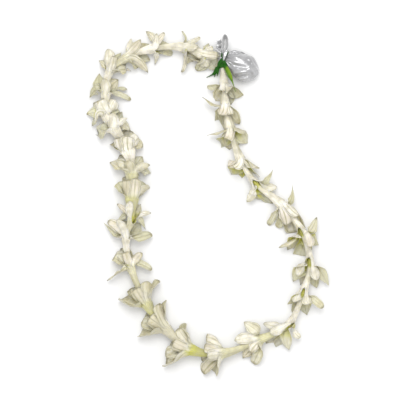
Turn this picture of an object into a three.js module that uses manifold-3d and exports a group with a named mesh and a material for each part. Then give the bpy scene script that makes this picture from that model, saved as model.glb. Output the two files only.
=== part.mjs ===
// Fresh flower lei: tuberose florets strung end to end on one thread, laid down as a long loop.
// A leaf strip and a satin ribbon bow are tied on where the thread is closed.
// Millimetres, +Z up. The lei lies on the plane z = 0, with the origin under the middle of its outline.
import * as THREE from "three";
import { mergeVertices } from "three/addons/utils/BufferGeometryUtils.js";
import Module from "manifold-3d";

const wasm = await Module();
wasm.setup();

// Plan grid: the lists below give places as steps to the right and steps down, then the height in mm
const planStep = 1.2;
const planMiddle = { x: 207.5, y: 202 };

// Floret tube
const baseRadius = 2.4;
const collarRadius = 2.8;
const neckRadius = 3.2;
const throatRadius = 4.4;
const mouthRadius = 5.3;
const boreAtBase = 1.0;
const boreAtNeck = 1.6;
const boreAtThroat = 3.4;
const boreAtMouth = 4.2;
const nestDepth = 5;

// Tepals
const tepalCount = 6;
const tepalHalfWidth = 5.6;
const tepalThickness = 0.7;
const tepalShareOfGap = 0.48;
const tepalRootRadius = 4.75;
const tepalRootShare = 0.42;
const tepalWidestAt = 0.62;
const tepalReach = 0.36;
const tepalRows = [0.26, 0.52, 0.8];
const tepalCup = 0.27;
const tepalCupAtRoot = 0.5;

// Thread, with the knot that closes it
const threadRadius = 0.5;
const threadSides = 6;
const threadKnotRadius = 1.4;

// Knots round the thread: the ribbon's and the leaf strip's
const knotSides = 8;
const knotBore = 2.1;
const ribbonKnot = { radius: 4.2, endRadius: 3.3, length: 5.2 };
const leafKnot = { radius: 4.0, endRadius: 3.2, length: 4.4 };
const ribbonThickness = 0.8;
const leafThickness = 0.8;

// Places that the thread passes at the tie: its bend, the ribbon's knot and the leaf strip's knot
const threadBendPlace = [218.5, 55, 9];
const ribbonKnotPlace = [221, 59, 8];
const leafKnotPlace = [222.4, 65, 8];

// Wide loop of the bow: it starts out from the knot and comes back under itself. Each row gives in mm how far
// out it is, its height, its half widths to the left and right, and how far its edges draw back and drop.
const wideLoop = {
  from: [223, 58],
  towards: [254, 72],
  rows: [
    [1, 10, 2.5, 1.5, 0, 0], [4, 14, 9, 3, 0, 2], [9, 17.5, 14, 7, 0, 5.5], [16, 20.5, 16, 12, 0, 9],
    [27, 21.5, 16, 16, 2, 10], [38, 18.5, 15.5, 15.5, 6, 8], [46, 10, 14, 14, 10, 1.5],
    [43, 3, 13, 13, 8, 0], [36, 0.4, 13, 13, 3, 0], [29, 0.4, 13, 13, 0, 0], [22, 0.4, 13, 12, 0, 0],
    [15, 0.4, 11, 9, 0, 0], [8, 4, 6, 4, 0, 0], [1, 6.8, 2.5, 1.5, 0, 0],
  ],
  columns: [-1, -0.5, 0, 0.5, 1],
};

// Narrow loop, tail and leaf ends: rows of a strip, each a place on its middle line and its half width in mm,
// with how far the strip leans from upright
const narrowLoop = {
  lean: 0.3,
  rows: [
    [222.8, 58, 10.2, 1.2], [223.1, 53, 11, 3.2], [222.7, 46, 12, 5], [222.8, 39, 12.5, 5.5],
    [225, 34.6, 12.5, 5], [227.4, 39, 12.5, 5.5], [227.2, 47, 12, 5], [225.4, 53.5, 11, 3],
    [223.7, 57.6, 10, 1.2],
  ],
};
const ribbonTail = {
  lean: 0.12,
  rows: [
    [221.5, 58, 11.2, 1], [221, 53.5, 12, 2.6], [218.8, 50, 11.5, 4], [216.4, 47.2, 11, 4.4],
    [218.6, 44.8, 11, 4.2], [216.8, 42.4, 11, 4], [220.4, 40.2, 11, 3.4],
  ],
};
const leafTail = {
  lean: Math.PI / 2,
  rows: [
    [223.6, 64.4, 10, 1.2], [226.4, 69, 15, 2.4], [229.2, 76, 17.5, 2.8], [231.8, 82.5, 17.5, 1.9],
    [233.8, 88, 17, 1.1], [235.4, 92, 16, 0.5],
  ],
};
const leafStub = {
  lean: Math.PI / 2,
  rows: [[219.9, 65.6, 9, 1.2], [216.8, 69.4, 7, 2.8], [213.8, 73.4, 3.5, 2.2], [206.6, 77, 0.4, 0.5]],
};

// Each floret: the middle of its mouth, and the tips of its six tepals
const florets = [
  {
    mouth: [224, 83, 11],
    tips: [[222, 93, 25], [230, 91, 24], [207, 87, 9], [215, 102, -5], [231, 104, -5], [242, 97, 6]],
  },
  {
    mouth: [225, 103, 11],
    tips: [[221, 117, 21], [231, 116, 20], [202, 98, 12], [216, 122, 2], [224, 129, -5], [239, 125, 5]],
  },
  {
    mouth: [230, 128, 11],
    tips: [[227, 140, 20], [207, 135, 10], [246, 133, 15], [249, 143, 4], [220, 148, -5], [230, 150, -5]],
  },
  {
    mouth: [240, 158, 11],
    tips: [[228, 167, 13], [234, 170, 21], [259, 169, 14], [258, 178, 7], [231, 175, 2], [242, 178, -5]],
  },
  {
    mouth: [256, 184, 11],
    tips: [[247, 202, 9], [273, 169, 15], [262, 200, 3], [273, 203, -5], [277, 188, 9], [252, 199, 2]],
  },
  {
    mouth: [281, 204, 11],
    tips: [[298, 217, 19], [292, 183, 15], [269, 226, 3], [278, 228, 2], [287, 225, 12], [295, 233, -5]],
  },
  {
    mouth: [302, 232, 11],
    tips: [[310, 248, 20], [317, 217, 13], [319, 246, 7], [302, 256, -5], [288, 251, 2], [279, 248, 10]],
  },
  {
    mouth: [310, 263, 11],
    tips: [[317, 280, 19], [298, 276, 16], [293, 282, 4], [301, 287, -5], [317, 288, 2], [329, 286, 9]],
  },
  {
    mouth: [303, 293, 11],
    tips: [[308, 305, 21], [323, 308, 13], [308, 317, -5], [294, 314, 2], [289, 306, 8], [296, 302, 18]],
  },
  {
    mouth: [288, 325, 11],
    tips: [[263, 324, 14], [270, 333, 20], [300, 338, 10], [289, 351, 7], [277, 349, -5], [266, 345, -8]],
  },
  {
    mouth: [261, 339, 11],
    tips: [[244, 322, 7], [234, 340, 18], [243, 359, 2], [253, 365, 4], [240, 349, -5], [250, 352, 20]],
  },
  {
    mouth: [224, 353, 11],
    tips: [[206, 337, 9], [204, 346, 15], [207, 356, 20], [203, 374, 2], [214, 373, 4], [201, 361, -5]],
  },
  {
    mouth: [192, 350, 11],
    tips: [[185, 323, 9], [178, 328, 14], [173, 341, 20], [169, 347, -5], [165, 365, 2], [165, 355, 5]],
  },
  {
    mouth: [166, 329, 11],
    tips: [[139, 335, 3], [141, 323, 2], [159, 303, 15], [167, 300, 9], [145, 315, -5], [149, 317, 19]],
  },
  {
    mouth: [147, 304, 11],
    tips: [[120, 299, 3], [128, 291, 2], [147, 281, 14], [160, 281, 8], [136, 288, 18], [140, 284, -5]],
  },
  {
    mouth: [131, 268, 11],
    tips: [[106, 280, 7], [113, 259, 3], [120, 248, -5], [152, 270, 7], [142, 253, 9], [125, 252, 20]],
  },
  {
    mouth: [126, 239, 11],
    tips: [[103, 222, 7], [108, 221, 13], [117, 219, 20], [152, 234, 5], [142, 223, -5], [121, 221, -5]],
  },
  {
    mouth: [132, 218, 11],
    tips: [[113, 226, 2], [146, 230, 8], [151, 213, 9], [141, 203, -5], [117, 204, 9], [130, 201, 20]],
  },
  {
    mouth: [132, 199, 11],
    tips: [[118, 182, 7], [126, 180, 18], [136, 178, 17], [146, 184, 4], [150, 188, 10], [127, 176, -5]],
  },
  {
    mouth: [132, 175, 11],
    tips: [[109, 161, 4], [119, 155, -5], [149, 165, 10], [151, 173, 3], [129, 161, 22], [142, 156, 3]],
  },
  {
    mouth: [128, 151, 11],
    tips: [[118, 138, 18], [128, 136, 21], [139, 138, 12], [143, 146, 5], [111, 143, 2], [130, 130, -5]],
  },
  {
    mouth: [116, 131, 11],
    tips: [[97, 134, 7], [99, 125, 2], [127, 118, 13], [130, 131, 5], [113, 113, 18], [122, 111, -5]],
  },
  {
    mouth: [106, 116, 11],
    tips: [[86, 114, 5], [91, 126, 6], [92, 103, 3], [120, 111, 6], [100, 100, 18], [115, 100, 12]],
  },
  {
    mouth: [106, 95, 11],
    tips: [[89, 98, 8], [99, 73, 9], [118, 79, 5], [127, 89, 4], [131, 100, 3], [105, 79, 21]],
  },
  {
    mouth: [109, 73, 11],
    tips: [[108, 49, 15], [98, 60, 7], [131, 70, 3], [121, 52, 3], [115, 56, 20], [128, 61, -5]],
  },
  {
    mouth: [126, 58, 11],
    tips: [[132, 39, 13], [141, 40, 17], [149, 43, 5], [139, 67, 4], [148, 72, 7], [150, 60, 2]],
  },
  {
    mouth: [152, 49, 11],
    tips: [[147, 30, 9], [156, 34, 18], [164, 32, 12], [172, 44, 3], [173, 54, 2], [155, 64, 4]],
  },
  {
    mouth: [182, 47, 11],
    tips: [[184, 30, 8], [200, 37, 12], [198, 48, 21], [203, 59, -5], [193, 62, 2], [181, 72, 6]],
  },
  {
    mouth: [201, 54, 11],
    tips: [[208, 42, 5], [218, 56, 20], [212, 46, 14], [217, 70, 2], [208, 67, 9], [197, 71, 3]],
  },
];

// A place of the plan lists as a point in millimetres
const place = ([right, down, height]) =>
  new THREE.Vector3((right - planMiddle.x) * planStep, (planMiddle.y - down) * planStep, height);

// The thread's route, a closed centripetal spline: ribbon knot, leaf knot, every mouth in turn, then the bend
const mouthPlaces = florets.map((floret) => floret.mouth);
const routePoints = [ribbonKnotPlace, leafKnotPlace, ...mouthPlaces, threadBendPlace].map(place);
const route = new THREE.CatmullRomCurve3(routePoints, true, "centripetal");
const spanCount = routePoints.length;
const spanPoint = (i) => routePoints[(i + spanCount) % spanCount];
const spanLength = (i) => spanPoint(i).distanceTo(spanPoint(i + 1));

// A station on the route: its middle, the way it runs, and its sideways and upward directions
function station(span, share) {
  const t = (((span + share) / spanCount) % 1 + 1) % 1;
  const middle = route.getPoint(t);
  const along = route.getTangent(t);
  const side = new THREE.Vector3().crossVectors(along, new THREE.Vector3(0, 0, 1)).normalize();
  const up = new THREE.Vector3().crossVectors(side, along).normalize();
  return { middle, along, side, up };
}

const onRing = (at, radius, angle) => at.middle.clone()
  .addScaledVector(at.side, radius * Math.cos(angle))
  .addScaledVector(at.up, radius * Math.sin(angle));

const ring = (at, radius, sides, turn = 0) => Array.from({ length: sides }, (_, k) => (
  onRing(at, radius, turn + (2 * Math.PI * k) / sides)));

function geometryFrom(points, faces) {
  const geometry = new THREE.BufferGeometry();
  const numbers = points.flatMap((p) => [p.x, p.y, p.z]);
  geometry.setAttribute("position", new THREE.Float32BufferAttribute(numbers, 3));
  geometry.setIndex(faces.flat());
  return geometry;
}

// A hollow tube through stations, with an outer radius and a bore at each
function hollowTube(stations, radii, bores, sides) {
  const rings = [radii, bores].map((list) => stations.map((at, i) => ring(at, list[i], sides)));
  const points = rings.flat(2);
  const index = (wall, i, k) => (wall * stations.length + i) * sides + (k % sides);
  const faces = [];
  const quad = (p, q, r, t) => faces.push([p, r, q], [p, t, r]);
  const last = stations.length - 1;
  for (let k = 0; k < sides; k++) {
    for (let i = 0; i < last; i++) {
      quad(index(0, i, k), index(0, i, k + 1), index(0, i + 1, k + 1), index(0, i + 1, k));
      quad(index(1, i, k + 1), index(1, i, k), index(1, i + 1, k), index(1, i + 1, k + 1));
    }
    quad(index(0, 0, k + 1), index(0, 0, k), index(1, 0, k), index(1, 0, k + 1));
    quad(index(0, last, k), index(0, last, k + 1), index(1, last, k + 1), index(1, last, k));
  }
  return geometryFrom(points, faces);
}

// A solid tube that runs round a closed line of stations
function closedTube(stations, radius, sides) {
  const points = stations.flatMap((at) => ring(at, radius, sides));
  const faces = [];
  stations.forEach((_, i) => {
    const here = i * sides;
    const next = ((i + 1) % stations.length) * sides;
    for (let k = 0; k < sides; k++) {
      const j = (k + 1) % sides;
      faces.push([here + k, next + j, here + j], [here + k, next + k, next + j]);
    }
  });
  return geometryFrom(points, faces);
}

// The direction that each point of a sheet faces, from its neighbours. A row of one point is a pointed end.
function sheetNormals(rows) {
  const columns = rows[0].length;
  const lastRow = rows.length - 1;
  const at = (i, j) => rows[i][Math.min(j, rows[i].length - 1)];
  return rows.map((row, i) => row.map((_, j) => {
    const before = at(Math.max(i - 1, 0), j);
    const lengthwise = new THREE.Vector3().subVectors(at(Math.min(i + 1, lastRow), j), before);
    const wide = row.length > 1;
    const from = wide ? Math.max(j - 1, 0) : 0;
    const to = wide ? Math.min(j + 1, columns - 1) : columns - 1;
    const across = new THREE.Vector3().subVectors(at(wide ? i : i - 1, to), at(wide ? i : i - 1, from));
    return new THREE.Vector3().crossVectors(across, lengthwise).normalize();
  }));
}

// A strip with a thickness, from rows of points on its middle surface
function sheetSolid(rows, thickness) {
  const columns = rows[0].length;
  const normals = sheetNormals(rows);
  const points = [];
  const index = [[], []];
  for (const face of [0, 1]) {
    rows.forEach((row, i) => {
      index[face].push(row.map((p, j) => {
        const offset = (face === 0 ? 0.5 : -0.5) * thickness;
        return points.push(p.clone().addScaledVector(normals[i][j], offset)) - 1;
      }));
    });
  }
  const faces = [];
  const quad = (a, b, c, d) => faces.push([a, b, c], [a, c, d]);
  const edge = (r, j) => index.map((side) => side[r][Math.min(j, rows[r].length - 1)]);
  for (let i = 0; i + 1 < rows.length; i++) {
    const pointed = rows[i + 1].length === 1;
    for (let j = 0; j + 1 < columns; j++) {
      const corners = (side) => [side[i][j], side[i][j + 1], side[i + 1][j + 1], side[i + 1][j]];
      const [top, under] = index.map(corners);
      if (pointed) {
        faces.push([index[0][i][j], index[0][i][j + 1], index[0][i + 1][0]]);
        faces.push([index[1][i][j + 1], index[1][i][j], index[1][i + 1][0]]);
      } else {
        faces.push([top[0], top[1], top[2]], [top[0], top[2], top[3]]);
        faces.push([under[1], under[0], under[2]], [under[2], under[0], under[3]]);
      }
    }
    for (const j of [0, columns - 1]) {
      const [a, b] = edge(i, j);
      const [c, d] = edge(i + 1, j);
      if (j === 0) quad(a, c, d, b);
      else quad(a, b, d, c);
    }
  }
  for (const i of [0, rows.length - 1]) {
    for (let j = 0; j + 1 < rows[i].length; j++) {
      const [a, b] = edge(i, j);
      const [c, d] = edge(i, j + 1);
      if (i === 0) quad(a, b, d, c);
      else quad(a, c, d, b);
    }
  }
  return geometryFrom(points, faces);
}

// Half width of a tepal along its length, as a share of its widest: a smooth swell, then a round taper
function tepalOutline(u) {
  const s = Math.min(u / tepalWidestAt, 1);
  const swell = tepalRootShare + (1 - tepalRootShare) * s * s * (3 - 2 * s);
  const past = Math.max(0, (u - tepalWidestAt) / (1 - tepalWidestAt));
  return swell * Math.sqrt(Math.max(0, 1 - past ** 2.4));
}

// The six roots of a floret stand 60 degrees apart, turned to face the tips as nearly as they can
function facedTips(mouth, tips) {
  const turned = tips.map((tip) => {
    const away = place(tip).sub(mouth.middle);
    return { tip: place(tip), angle: Math.atan2(away.dot(mouth.up), away.dot(mouth.side)) };
  });
  turned.sort((a, b) => a.angle - b.angle);
  const step = (2 * Math.PI) / tepalCount;
  const sine = turned.reduce((sum, t, k) => sum + Math.sin(t.angle - k * step), 0);
  const cosine = turned.reduce((sum, t, k) => sum + Math.cos(t.angle - k * step), 0);
  const turn = Math.atan2(sine, cosine);
  return { turn, tepals: turned.map((t, k) => ({ tip: t.tip, root: turn + k * step })) };
}

// The line that a tepal follows: it leaves the tube along its wall, then bends out to its tip
function tepalLine(mouth, root, tip) {
  const start = onRing(mouth, tepalRootRadius, root);
  const reach = tepalReach * tip.distanceTo(mouth.middle);
  return new THREE.QuadraticBezierCurve3(start, start.clone().addScaledVector(mouth.along, reach), tip);
}

// Rows of points on a tepal's middle surface, past its root. It is as wide as the gap to its neighbours
// allows, and where it would pass through the surface below, it lies flat on it.
function tepalSurface(mouth, root, lines, k) {
  const line = lines[k];
  const neighbours = [lines[(k + 1) % tepalCount], lines[(k + tepalCount - 1) % tepalCount]];
  const outward = onRing({ ...mouth, middle: new THREE.Vector3() }, 1, root);
  let across = new THREE.Vector3().crossVectors(outward, mouth.along).normalize();
  const rest = (p) => p.setZ(Math.max(p.z, tepalThickness / 2));
  const rows = tepalRows.map((u) => {
    const middle = line.getPoint(u);
    const along = line.getTangent(u);
    across = across.clone().addScaledVector(along, -across.dot(along)).normalize();
    const inward = new THREE.Vector3().crossVectors(across, along);
    const gap = Math.min(...neighbours.map((other) => other.getPoint(u).distanceTo(middle)));
    const half = Math.min(tepalHalfWidth * tepalOutline(u), tepalShareOfGap * gap);
    const cup = tepalCup + (tepalCupAtRoot - tepalCup) * (1 - u) ** 4;
    return [-1, 0, 1].map((v) => rest(middle.clone()
      .addScaledVector(across, v * half)
      .addScaledVector(inward, cup * half * v * v)));
  });
  return [...rows, [rest(line.v2.clone())]];
}

// A floret in one piece: the tube's outer wall runs on into the tepals' backs and its bore into their faces
function floretGeometry(stations, radii, bores, tips) {
  const mouth = stations[stations.length - 1];
  const { turn, tepals } = facedTips(mouth, tips);
  const points = [];
  const put = (list) => list.map((p) => points.push(p) - 1);
  const faces = [];
  const triangle = (wall, p, q, r) => faces.push(wall === 0 ? [p, r, q] : [p, q, r]);
  const quad = (wall, p, q, r, t) => {
    triangle(wall, p, q, r);
    triangle(wall, p, r, t);
  };
  const walls = [radii, bores].map((list, wall) => {
    const rings = stations.slice(0, -1).map((at, i) => put(ring(at, list[i], tepalCount, turn)));
    const rim = list[list.length - 1];
    const roots = put(ring(mouth, rim, tepalCount, turn));
    const halfStep = Math.PI / tepalCount;
    const notches = put(ring(mouth, rim * Math.cos(halfStep), tepalCount, turn + halfStep));
    for (let k = 0; k < tepalCount; k++) {
      const next = (k + 1) % tepalCount;
      for (let i = 0; i + 1 < rings.length; i++) {
        quad(wall, rings[i][k], rings[i][next], rings[i + 1][next], rings[i + 1][k]);
      }
      const throat = rings[rings.length - 1];
      triangle(wall, throat[k], notches[k], roots[k]);
      triangle(wall, throat[k], throat[next], notches[k]);
      triangle(wall, throat[next], roots[next], notches[k]);
    }
    return { rings, roots, notches };
  });
  for (let k = 0; k < tepalCount; k++) {
    const next = (k + 1) % tepalCount;
    quad(1, walls[0].rings[0][k], walls[0].rings[0][next], walls[1].rings[0][next], walls[1].rings[0][k]);
  }
  const lines = tepals.map(({ tip, root }) => tepalLine(mouth, root, tip));
  tepals.forEach(({ root }, k) => {
    const surface = tepalSurface(mouth, root, lines, k);
    const normals = sheetNormals(surface);
    const sides = walls.map(({ roots, notches }, wall) => {
      const offset = (wall === 0 ? -0.5 : 0.5) * tepalThickness;
      const moved = (p, i, j) => p.clone().addScaledVector(normals[i][j], offset);
      const rows = surface.map((row, i) => put(row.map((p, j) => moved(p, i, j))));
      return [[notches[(k + tepalCount - 1) % tepalCount], roots[k], notches[k]], ...rows];
    });
    sides.forEach((rows, wall) => {
      for (let i = 0; i + 1 < rows.length; i++) {
        for (const j of [0, 1]) {
          if (rows[i + 1].length === 1) triangle(wall, rows[i][j], rows[i][j + 1], rows[i + 1][0]);
          else quad(wall, rows[i][j], rows[i][j + 1], rows[i + 1][j + 1], rows[i + 1][j]);
        }
      }
    });
    const [back, front] = sides;
    const end = (row, j) => row[Math.min(j, row.length - 1)];
    for (let i = 0; i + 1 < back.length; i++) {
      quad(0, end(front[i], 0), end(back[i], 0), end(back[i + 1], 0), end(front[i + 1], 0));
      quad(0, end(back[i], 2), end(front[i], 2), end(front[i + 1], 2), end(back[i + 1], 2));
    }
  });
  return geometryFrom(points, faces);
}

// A closed mesh as a solid, and back
function solidFrom(geometry) {
  const bare = new THREE.BufferGeometry();
  bare.setAttribute("position", geometry.attributes.position);
  bare.setIndex(geometry.index);
  const merged = mergeVertices(bare, 1e-4);
  const mesh = new wasm.Mesh({
    numProp: 3,
    vertProperties: new Float32Array(merged.attributes.position.array),
    triVerts: new Uint32Array(merged.index.array),
  });
  return new wasm.Manifold(mesh);
}

// Joined pieces as one body: what fusing seals inside is filled, and loose scraps are left out
function fused(geometries) {
  const joined = wasm.Manifold.union(geometries.map(solidFrom)).simplify(0.02);
  const whole = joined.decompose().reduce((a, b) => (a.volume() >= b.volume() ? a : b));
  const mesh = whole.getMesh();
  const geometry = new THREE.BufferGeometry();
  geometry.setAttribute("position", new THREE.Float32BufferAttribute(mesh.vertProperties, 3));
  geometry.setIndex([...mesh.triVerts]);
  return geometry;
}

const group = new THREE.Group();
function add(name, geometry, material) {
  geometry.computeVertexNormals();
  const mesh = new THREE.Mesh(geometry, material);
  mesh.name = name;
  group.add(mesh);
}
const finish = (color, roughness) => new THREE.MeshStandardMaterial({ color, roughness, metalness: 0 });

// Florets: span i + 1 of the route ends at the mouth of floret i
const throatShare = (span) => 1 - nestDepth / spanLength(span);
const firstBaseShare = 0.2;
const firstCollarShare = 0.3;
florets.forEach((floret, i) => {
  const span = i + 1;
  const own = [station(span, 0.5), station(span, throatShare(span)), station(span, 1)];
  const first = i === 0 ? station(span, firstBaseShare) : station(span - 1, throatShare(span - 1));
  const collar = i === 0 ? station(span, firstCollarShare) : station(span, 0);
  const stations = [first, collar, ...own];
  const radii = [baseRadius, collarRadius, neckRadius, throatRadius, mouthRadius];
  const bores = [boreAtBase, boreAtBase, boreAtNeck, boreAtThroat, boreAtMouth];
  const geometry = floretGeometry(stations, radii, bores, floret.tips);
  add(`floret_${String(i + 1).padStart(2, "0")}`, geometry, finish(0xf4efdc, 0.5));
});

// Thread: it bends only where the tubes do, and its knot is inside the ribbon's
const threadStops = [[0, 0], [1, 0], [1, firstBaseShare], [1, firstCollarShare]];
const threadStations = threadStops.map((at) => station(...at));
florets.forEach((_, i) => {
  if (i > 0) threadStations.push(station(i + 1, 0));
  threadStations.push(station(i + 1, 0.5), station(i + 1, throatShare(i + 1)));
});
threadStations.push(station(spanCount - 2, 0), station(spanCount - 1, 0));
const threadKnot = new THREE.IcosahedronGeometry(threadKnotRadius, 1);
threadKnot.translate(...station(0, 0).middle.toArray());
const threadLine = closedTube(threadStations, threadRadius, threadSides);
add("thread", fused([threadLine, threadKnot]), finish(0xe9e6da, 0.8));

// A wrapped knot: a short barrel round the thread, narrower at its ends
function wrappedKnot(at, { radius, endRadius, length }) {
  const shares = [-0.5, -0.25, 0.25, 0.5];
  const stations = shares.map((share) => ({
    ...at, middle: at.middle.clone().addScaledVector(at.along, share * length) }));
  return hollowTube(stations, [endRadius, radius, radius, endRadius], shares.map(() => knotBore), knotSides);
}

// Rows of the wide loop, square to its aim. Its edges draw back and drop, so it ends round and domed.
function wideLoopRows({ from, towards, rows, columns }) {
  const start = place([...from, 0]);
  const aim = place([...towards, 0]).sub(start).normalize();
  const left = new THREE.Vector3(-aim.y, aim.x, 0);
  return rows.map(([out, height, halfLeft, halfRight, back, drop]) => columns.map((v) => {
    const p = start.clone().addScaledVector(aim, out - back * v * v);
    p.addScaledVector(left, v * (v < 0 ? halfRight : halfLeft));
    return p.setZ(Math.max(height - drop * v * v, ribbonThickness / 2));
  }));
}

// Rows of a strip that follows its middle line, leaning over from upright
function stripRows({ lean, rows }, thickness) {
  const middle = rows.map(([x, y, z]) => place([x, y, z]));
  return rows.map(([, , , half], i) => {
    const next = middle[Math.min(i + 1, rows.length - 1)];
    const run = new THREE.Vector3().subVectors(next, middle[Math.max(i - 1, 0)]);
    const left = new THREE.Vector3(-run.y, run.x, 0).normalize();
    const across = left.multiplyScalar(Math.sin(lean)).setZ(Math.cos(lean));
    return [-1, 0, 1].map((v) => {
      const p = middle[i].clone().addScaledVector(across, v * half);
      return p.setZ(Math.max(p.z, thickness / 2));
    });
  });
}

// Bow: one ribbon, so its loops, tail and knot are one body
add("ribbon_bow", fused([
  wrappedKnot(station(0, 0), ribbonKnot),
  sheetSolid(wideLoopRows(wideLoop), ribbonThickness),
  sheetSolid(stripRows(narrowLoop, ribbonThickness), ribbonThickness),
  sheetSolid(stripRows(ribbonTail, ribbonThickness), ribbonThickness),
]), finish(0xd9d9dc, 0.3));

// Leaf strip: its knot round the thread, and its two ends
add("leaf_tie", fused([
  wrappedKnot(station(1, 0), leafKnot),
  sheetSolid(stripRows(leafTail, leafThickness), leafThickness),
  sheetSolid(stripRows(leafStub, leafThickness), leafThickness),
]), finish(0x4f8a1c, 0.5));

export default group;
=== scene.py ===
import math
import bpy
import numpy as np
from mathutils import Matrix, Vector, noise


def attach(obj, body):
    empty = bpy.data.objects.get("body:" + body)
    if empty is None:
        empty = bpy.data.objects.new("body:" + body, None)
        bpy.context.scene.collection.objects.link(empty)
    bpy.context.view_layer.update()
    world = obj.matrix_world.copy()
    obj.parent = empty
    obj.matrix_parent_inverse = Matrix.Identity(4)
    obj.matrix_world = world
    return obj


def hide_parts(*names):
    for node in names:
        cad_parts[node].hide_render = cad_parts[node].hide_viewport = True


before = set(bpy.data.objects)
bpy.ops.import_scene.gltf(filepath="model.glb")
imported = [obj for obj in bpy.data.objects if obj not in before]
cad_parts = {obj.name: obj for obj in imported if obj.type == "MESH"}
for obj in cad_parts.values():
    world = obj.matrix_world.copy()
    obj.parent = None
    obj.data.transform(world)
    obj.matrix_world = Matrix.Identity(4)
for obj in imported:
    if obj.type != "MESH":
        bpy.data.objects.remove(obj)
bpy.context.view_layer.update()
scene = bpy.context.scene
mm = 0.001


def addObject(name, data):
    added = bpy.data.objects.new(name, data)
    scene.collection.objects.link(added)
    return added


# camera straight above with a long lens, in metres
cameraSet = {"x": -0.009, "y": 0.0024, "height": 2.4, "across": 0.48, "levelOfFlowers": 0.011, "farEnd": 20}
cameraData = bpy.data.cameras.new("overhead")
throw = cameraSet["height"] - cameraSet["levelOfFlowers"]
cameraData.lens = cameraData.sensor_width * throw / cameraSet["across"]
cameraData.clip_end = cameraSet["farEnd"]
camera = addObject("overhead", cameraData)
camera.location = (cameraSet["x"], cameraSet["y"], cameraSet["height"])
scene.camera = camera
scene.view_settings.view_transform = "Standard"

# the plan: steps to the right and down, in metres each, then the height in mm
plan = {"step": 0.0012, "middleX": 207.5, "middleY": 202}


def place(spot):
    return np.array([(spot[0] - plan["middleX"]) * plan["step"], (plan["middleY"] - spot[1]) * plan["step"],
                     spot[2] * mm])


# florets in order round the string: middle of the mouth, then the tips of the six petals
floretPlan = [
    ((224, 83, 11),
     [(222, 93, 25), (230, 91, 24), (207, 87, 9), (215, 102, -5), (231, 104, -5), (242, 97, 6)]),
    ((225, 103, 11),
     [(221, 117, 21), (231, 116, 20), (202, 98, 12), (216, 122, 2), (224, 129, -5), (239, 125, 5)]),
    ((230, 128, 11),
     [(227, 140, 20), (207, 135, 10), (246, 133, 15), (249, 143, 4), (220, 148, -5), (230, 150, -5)]),
    ((240, 158, 11),
     [(228, 167, 13), (234, 170, 21), (259, 169, 14), (258, 178, 7), (231, 175, 2), (242, 178, -5)]),
    ((256, 184, 11),
     [(247, 202, 9), (273, 169, 15), (262, 200, 3), (273, 203, -5), (277, 188, 9), (252, 199, 2)]),
    ((281, 204, 11),
     [(298, 217, 19), (292, 183, 15), (269, 226, 3), (278, 228, 2), (287, 225, 12), (295, 233, -5)]),
    ((302, 232, 11),
     [(310, 248, 20), (317, 217, 13), (319, 246, 7), (302, 256, -5), (288, 251, 2), (279, 248, 10)]),
    ((310, 263, 11),
     [(317, 280, 19), (298, 276, 16), (293, 282, 4), (301, 287, -5), (317, 288, 2), (329, 286, 9)]),
    ((303, 293, 11),
     [(308, 305, 21), (323, 308, 13), (308, 317, -5), (294, 314, 2), (289, 306, 8), (296, 302, 18)]),
    ((288, 325, 11),
     [(263, 324, 14), (270, 333, 20), (300, 338, 10), (289, 351, 7), (277, 349, -5), (266, 345, -8)]),
    ((261, 339, 11),
     [(244, 322, 7), (234, 340, 18), (243, 359, 2), (253, 365, 4), (240, 349, -5), (250, 352, 20)]),
    ((224, 353, 11),
     [(206, 337, 9), (204, 346, 15), (207, 356, 20), (203, 374, 2), (214, 373, 4), (201, 361, -5)]),
    ((192, 350, 11),
     [(185, 323, 9), (178, 328, 14), (173, 341, 20), (169, 347, -5), (165, 365, 2), (165, 355, 5)]),
    ((166, 329, 11),
     [(139, 335, 3), (141, 323, 2), (159, 303, 15), (167, 300, 9), (145, 315, -5), (149, 317, 19)]),
    ((147, 304, 11),
     [(120, 299, 3), (128, 291, 2), (147, 281, 14), (160, 281, 8), (136, 288, 18), (140, 284, -5)]),
    ((131, 268, 11),
     [(106, 280, 7), (113, 259, 3), (120, 248, -5), (152, 270, 7), (142, 253, 9), (125, 252, 20)]),
    ((126, 239, 11),
     [(103, 222, 7), (108, 221, 13), (117, 219, 20), (152, 234, 5), (142, 223, -5), (121, 221, -5)]),
    ((132, 218, 11),
     [(113, 226, 2), (146, 230, 8), (151, 213, 9), (141, 203, -5), (117, 204, 9), (130, 201, 20)]),
    ((132, 199, 11),
     [(118, 182, 7), (126, 180, 18), (136, 178, 17), (146, 184, 4), (150, 188, 10), (127, 176, -5)]),
    ((132, 175, 11),
     [(109, 161, 4), (119, 155, -5), (149, 165, 10), (151, 173, 3), (129, 161, 22), (142, 156, 3)]),
    ((128, 151, 11),
     [(118, 138, 18), (128, 136, 21), (139, 138, 12), (143, 146, 5), (111, 143, 2), (130, 130, -5)]),
    ((116, 131, 11),
     [(97, 134, 7), (99, 125, 2), (127, 118, 13), (130, 131, 5), (113, 113, 18), (122, 111, -5)]),
    ((106, 116, 11),
     [(86, 114, 5), (91, 126, 6), (92, 103, 3), (120, 111, 6), (100, 100, 18), (115, 100, 12)]),
    ((106, 95, 11),
     [(89, 98, 8), (99, 73, 9), (118, 79, 5), (127, 89, 4), (131, 100, 3), (105, 79, 21)]),
    ((109, 73, 11),
     [(108, 49, 15), (98, 60, 7), (131, 70, 3), (121, 52, 3), (115, 56, 20), (128, 61, -5)]),
    ((126, 58, 11),
     [(132, 39, 13), (141, 40, 17), (149, 43, 5), (139, 67, 4), (148, 72, 7), (150, 60, 2)]),
    ((152, 49, 11),
     [(147, 30, 9), (156, 34, 18), (164, 32, 12), (172, 44, 3), (173, 54, 2), (155, 64, 4)]),
    ((182, 47, 11),
     [(184, 30, 8), (200, 37, 12), (198, 48, 21), (203, 59, -5), (193, 62, 2), (181, 72, 6)]),
    ((201, 54, 11),
     [(208, 42, 5), (218, 56, 20), (212, 46, 14), (217, 70, 2), (208, 67, 9), (197, 71, 3)]),
]
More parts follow.
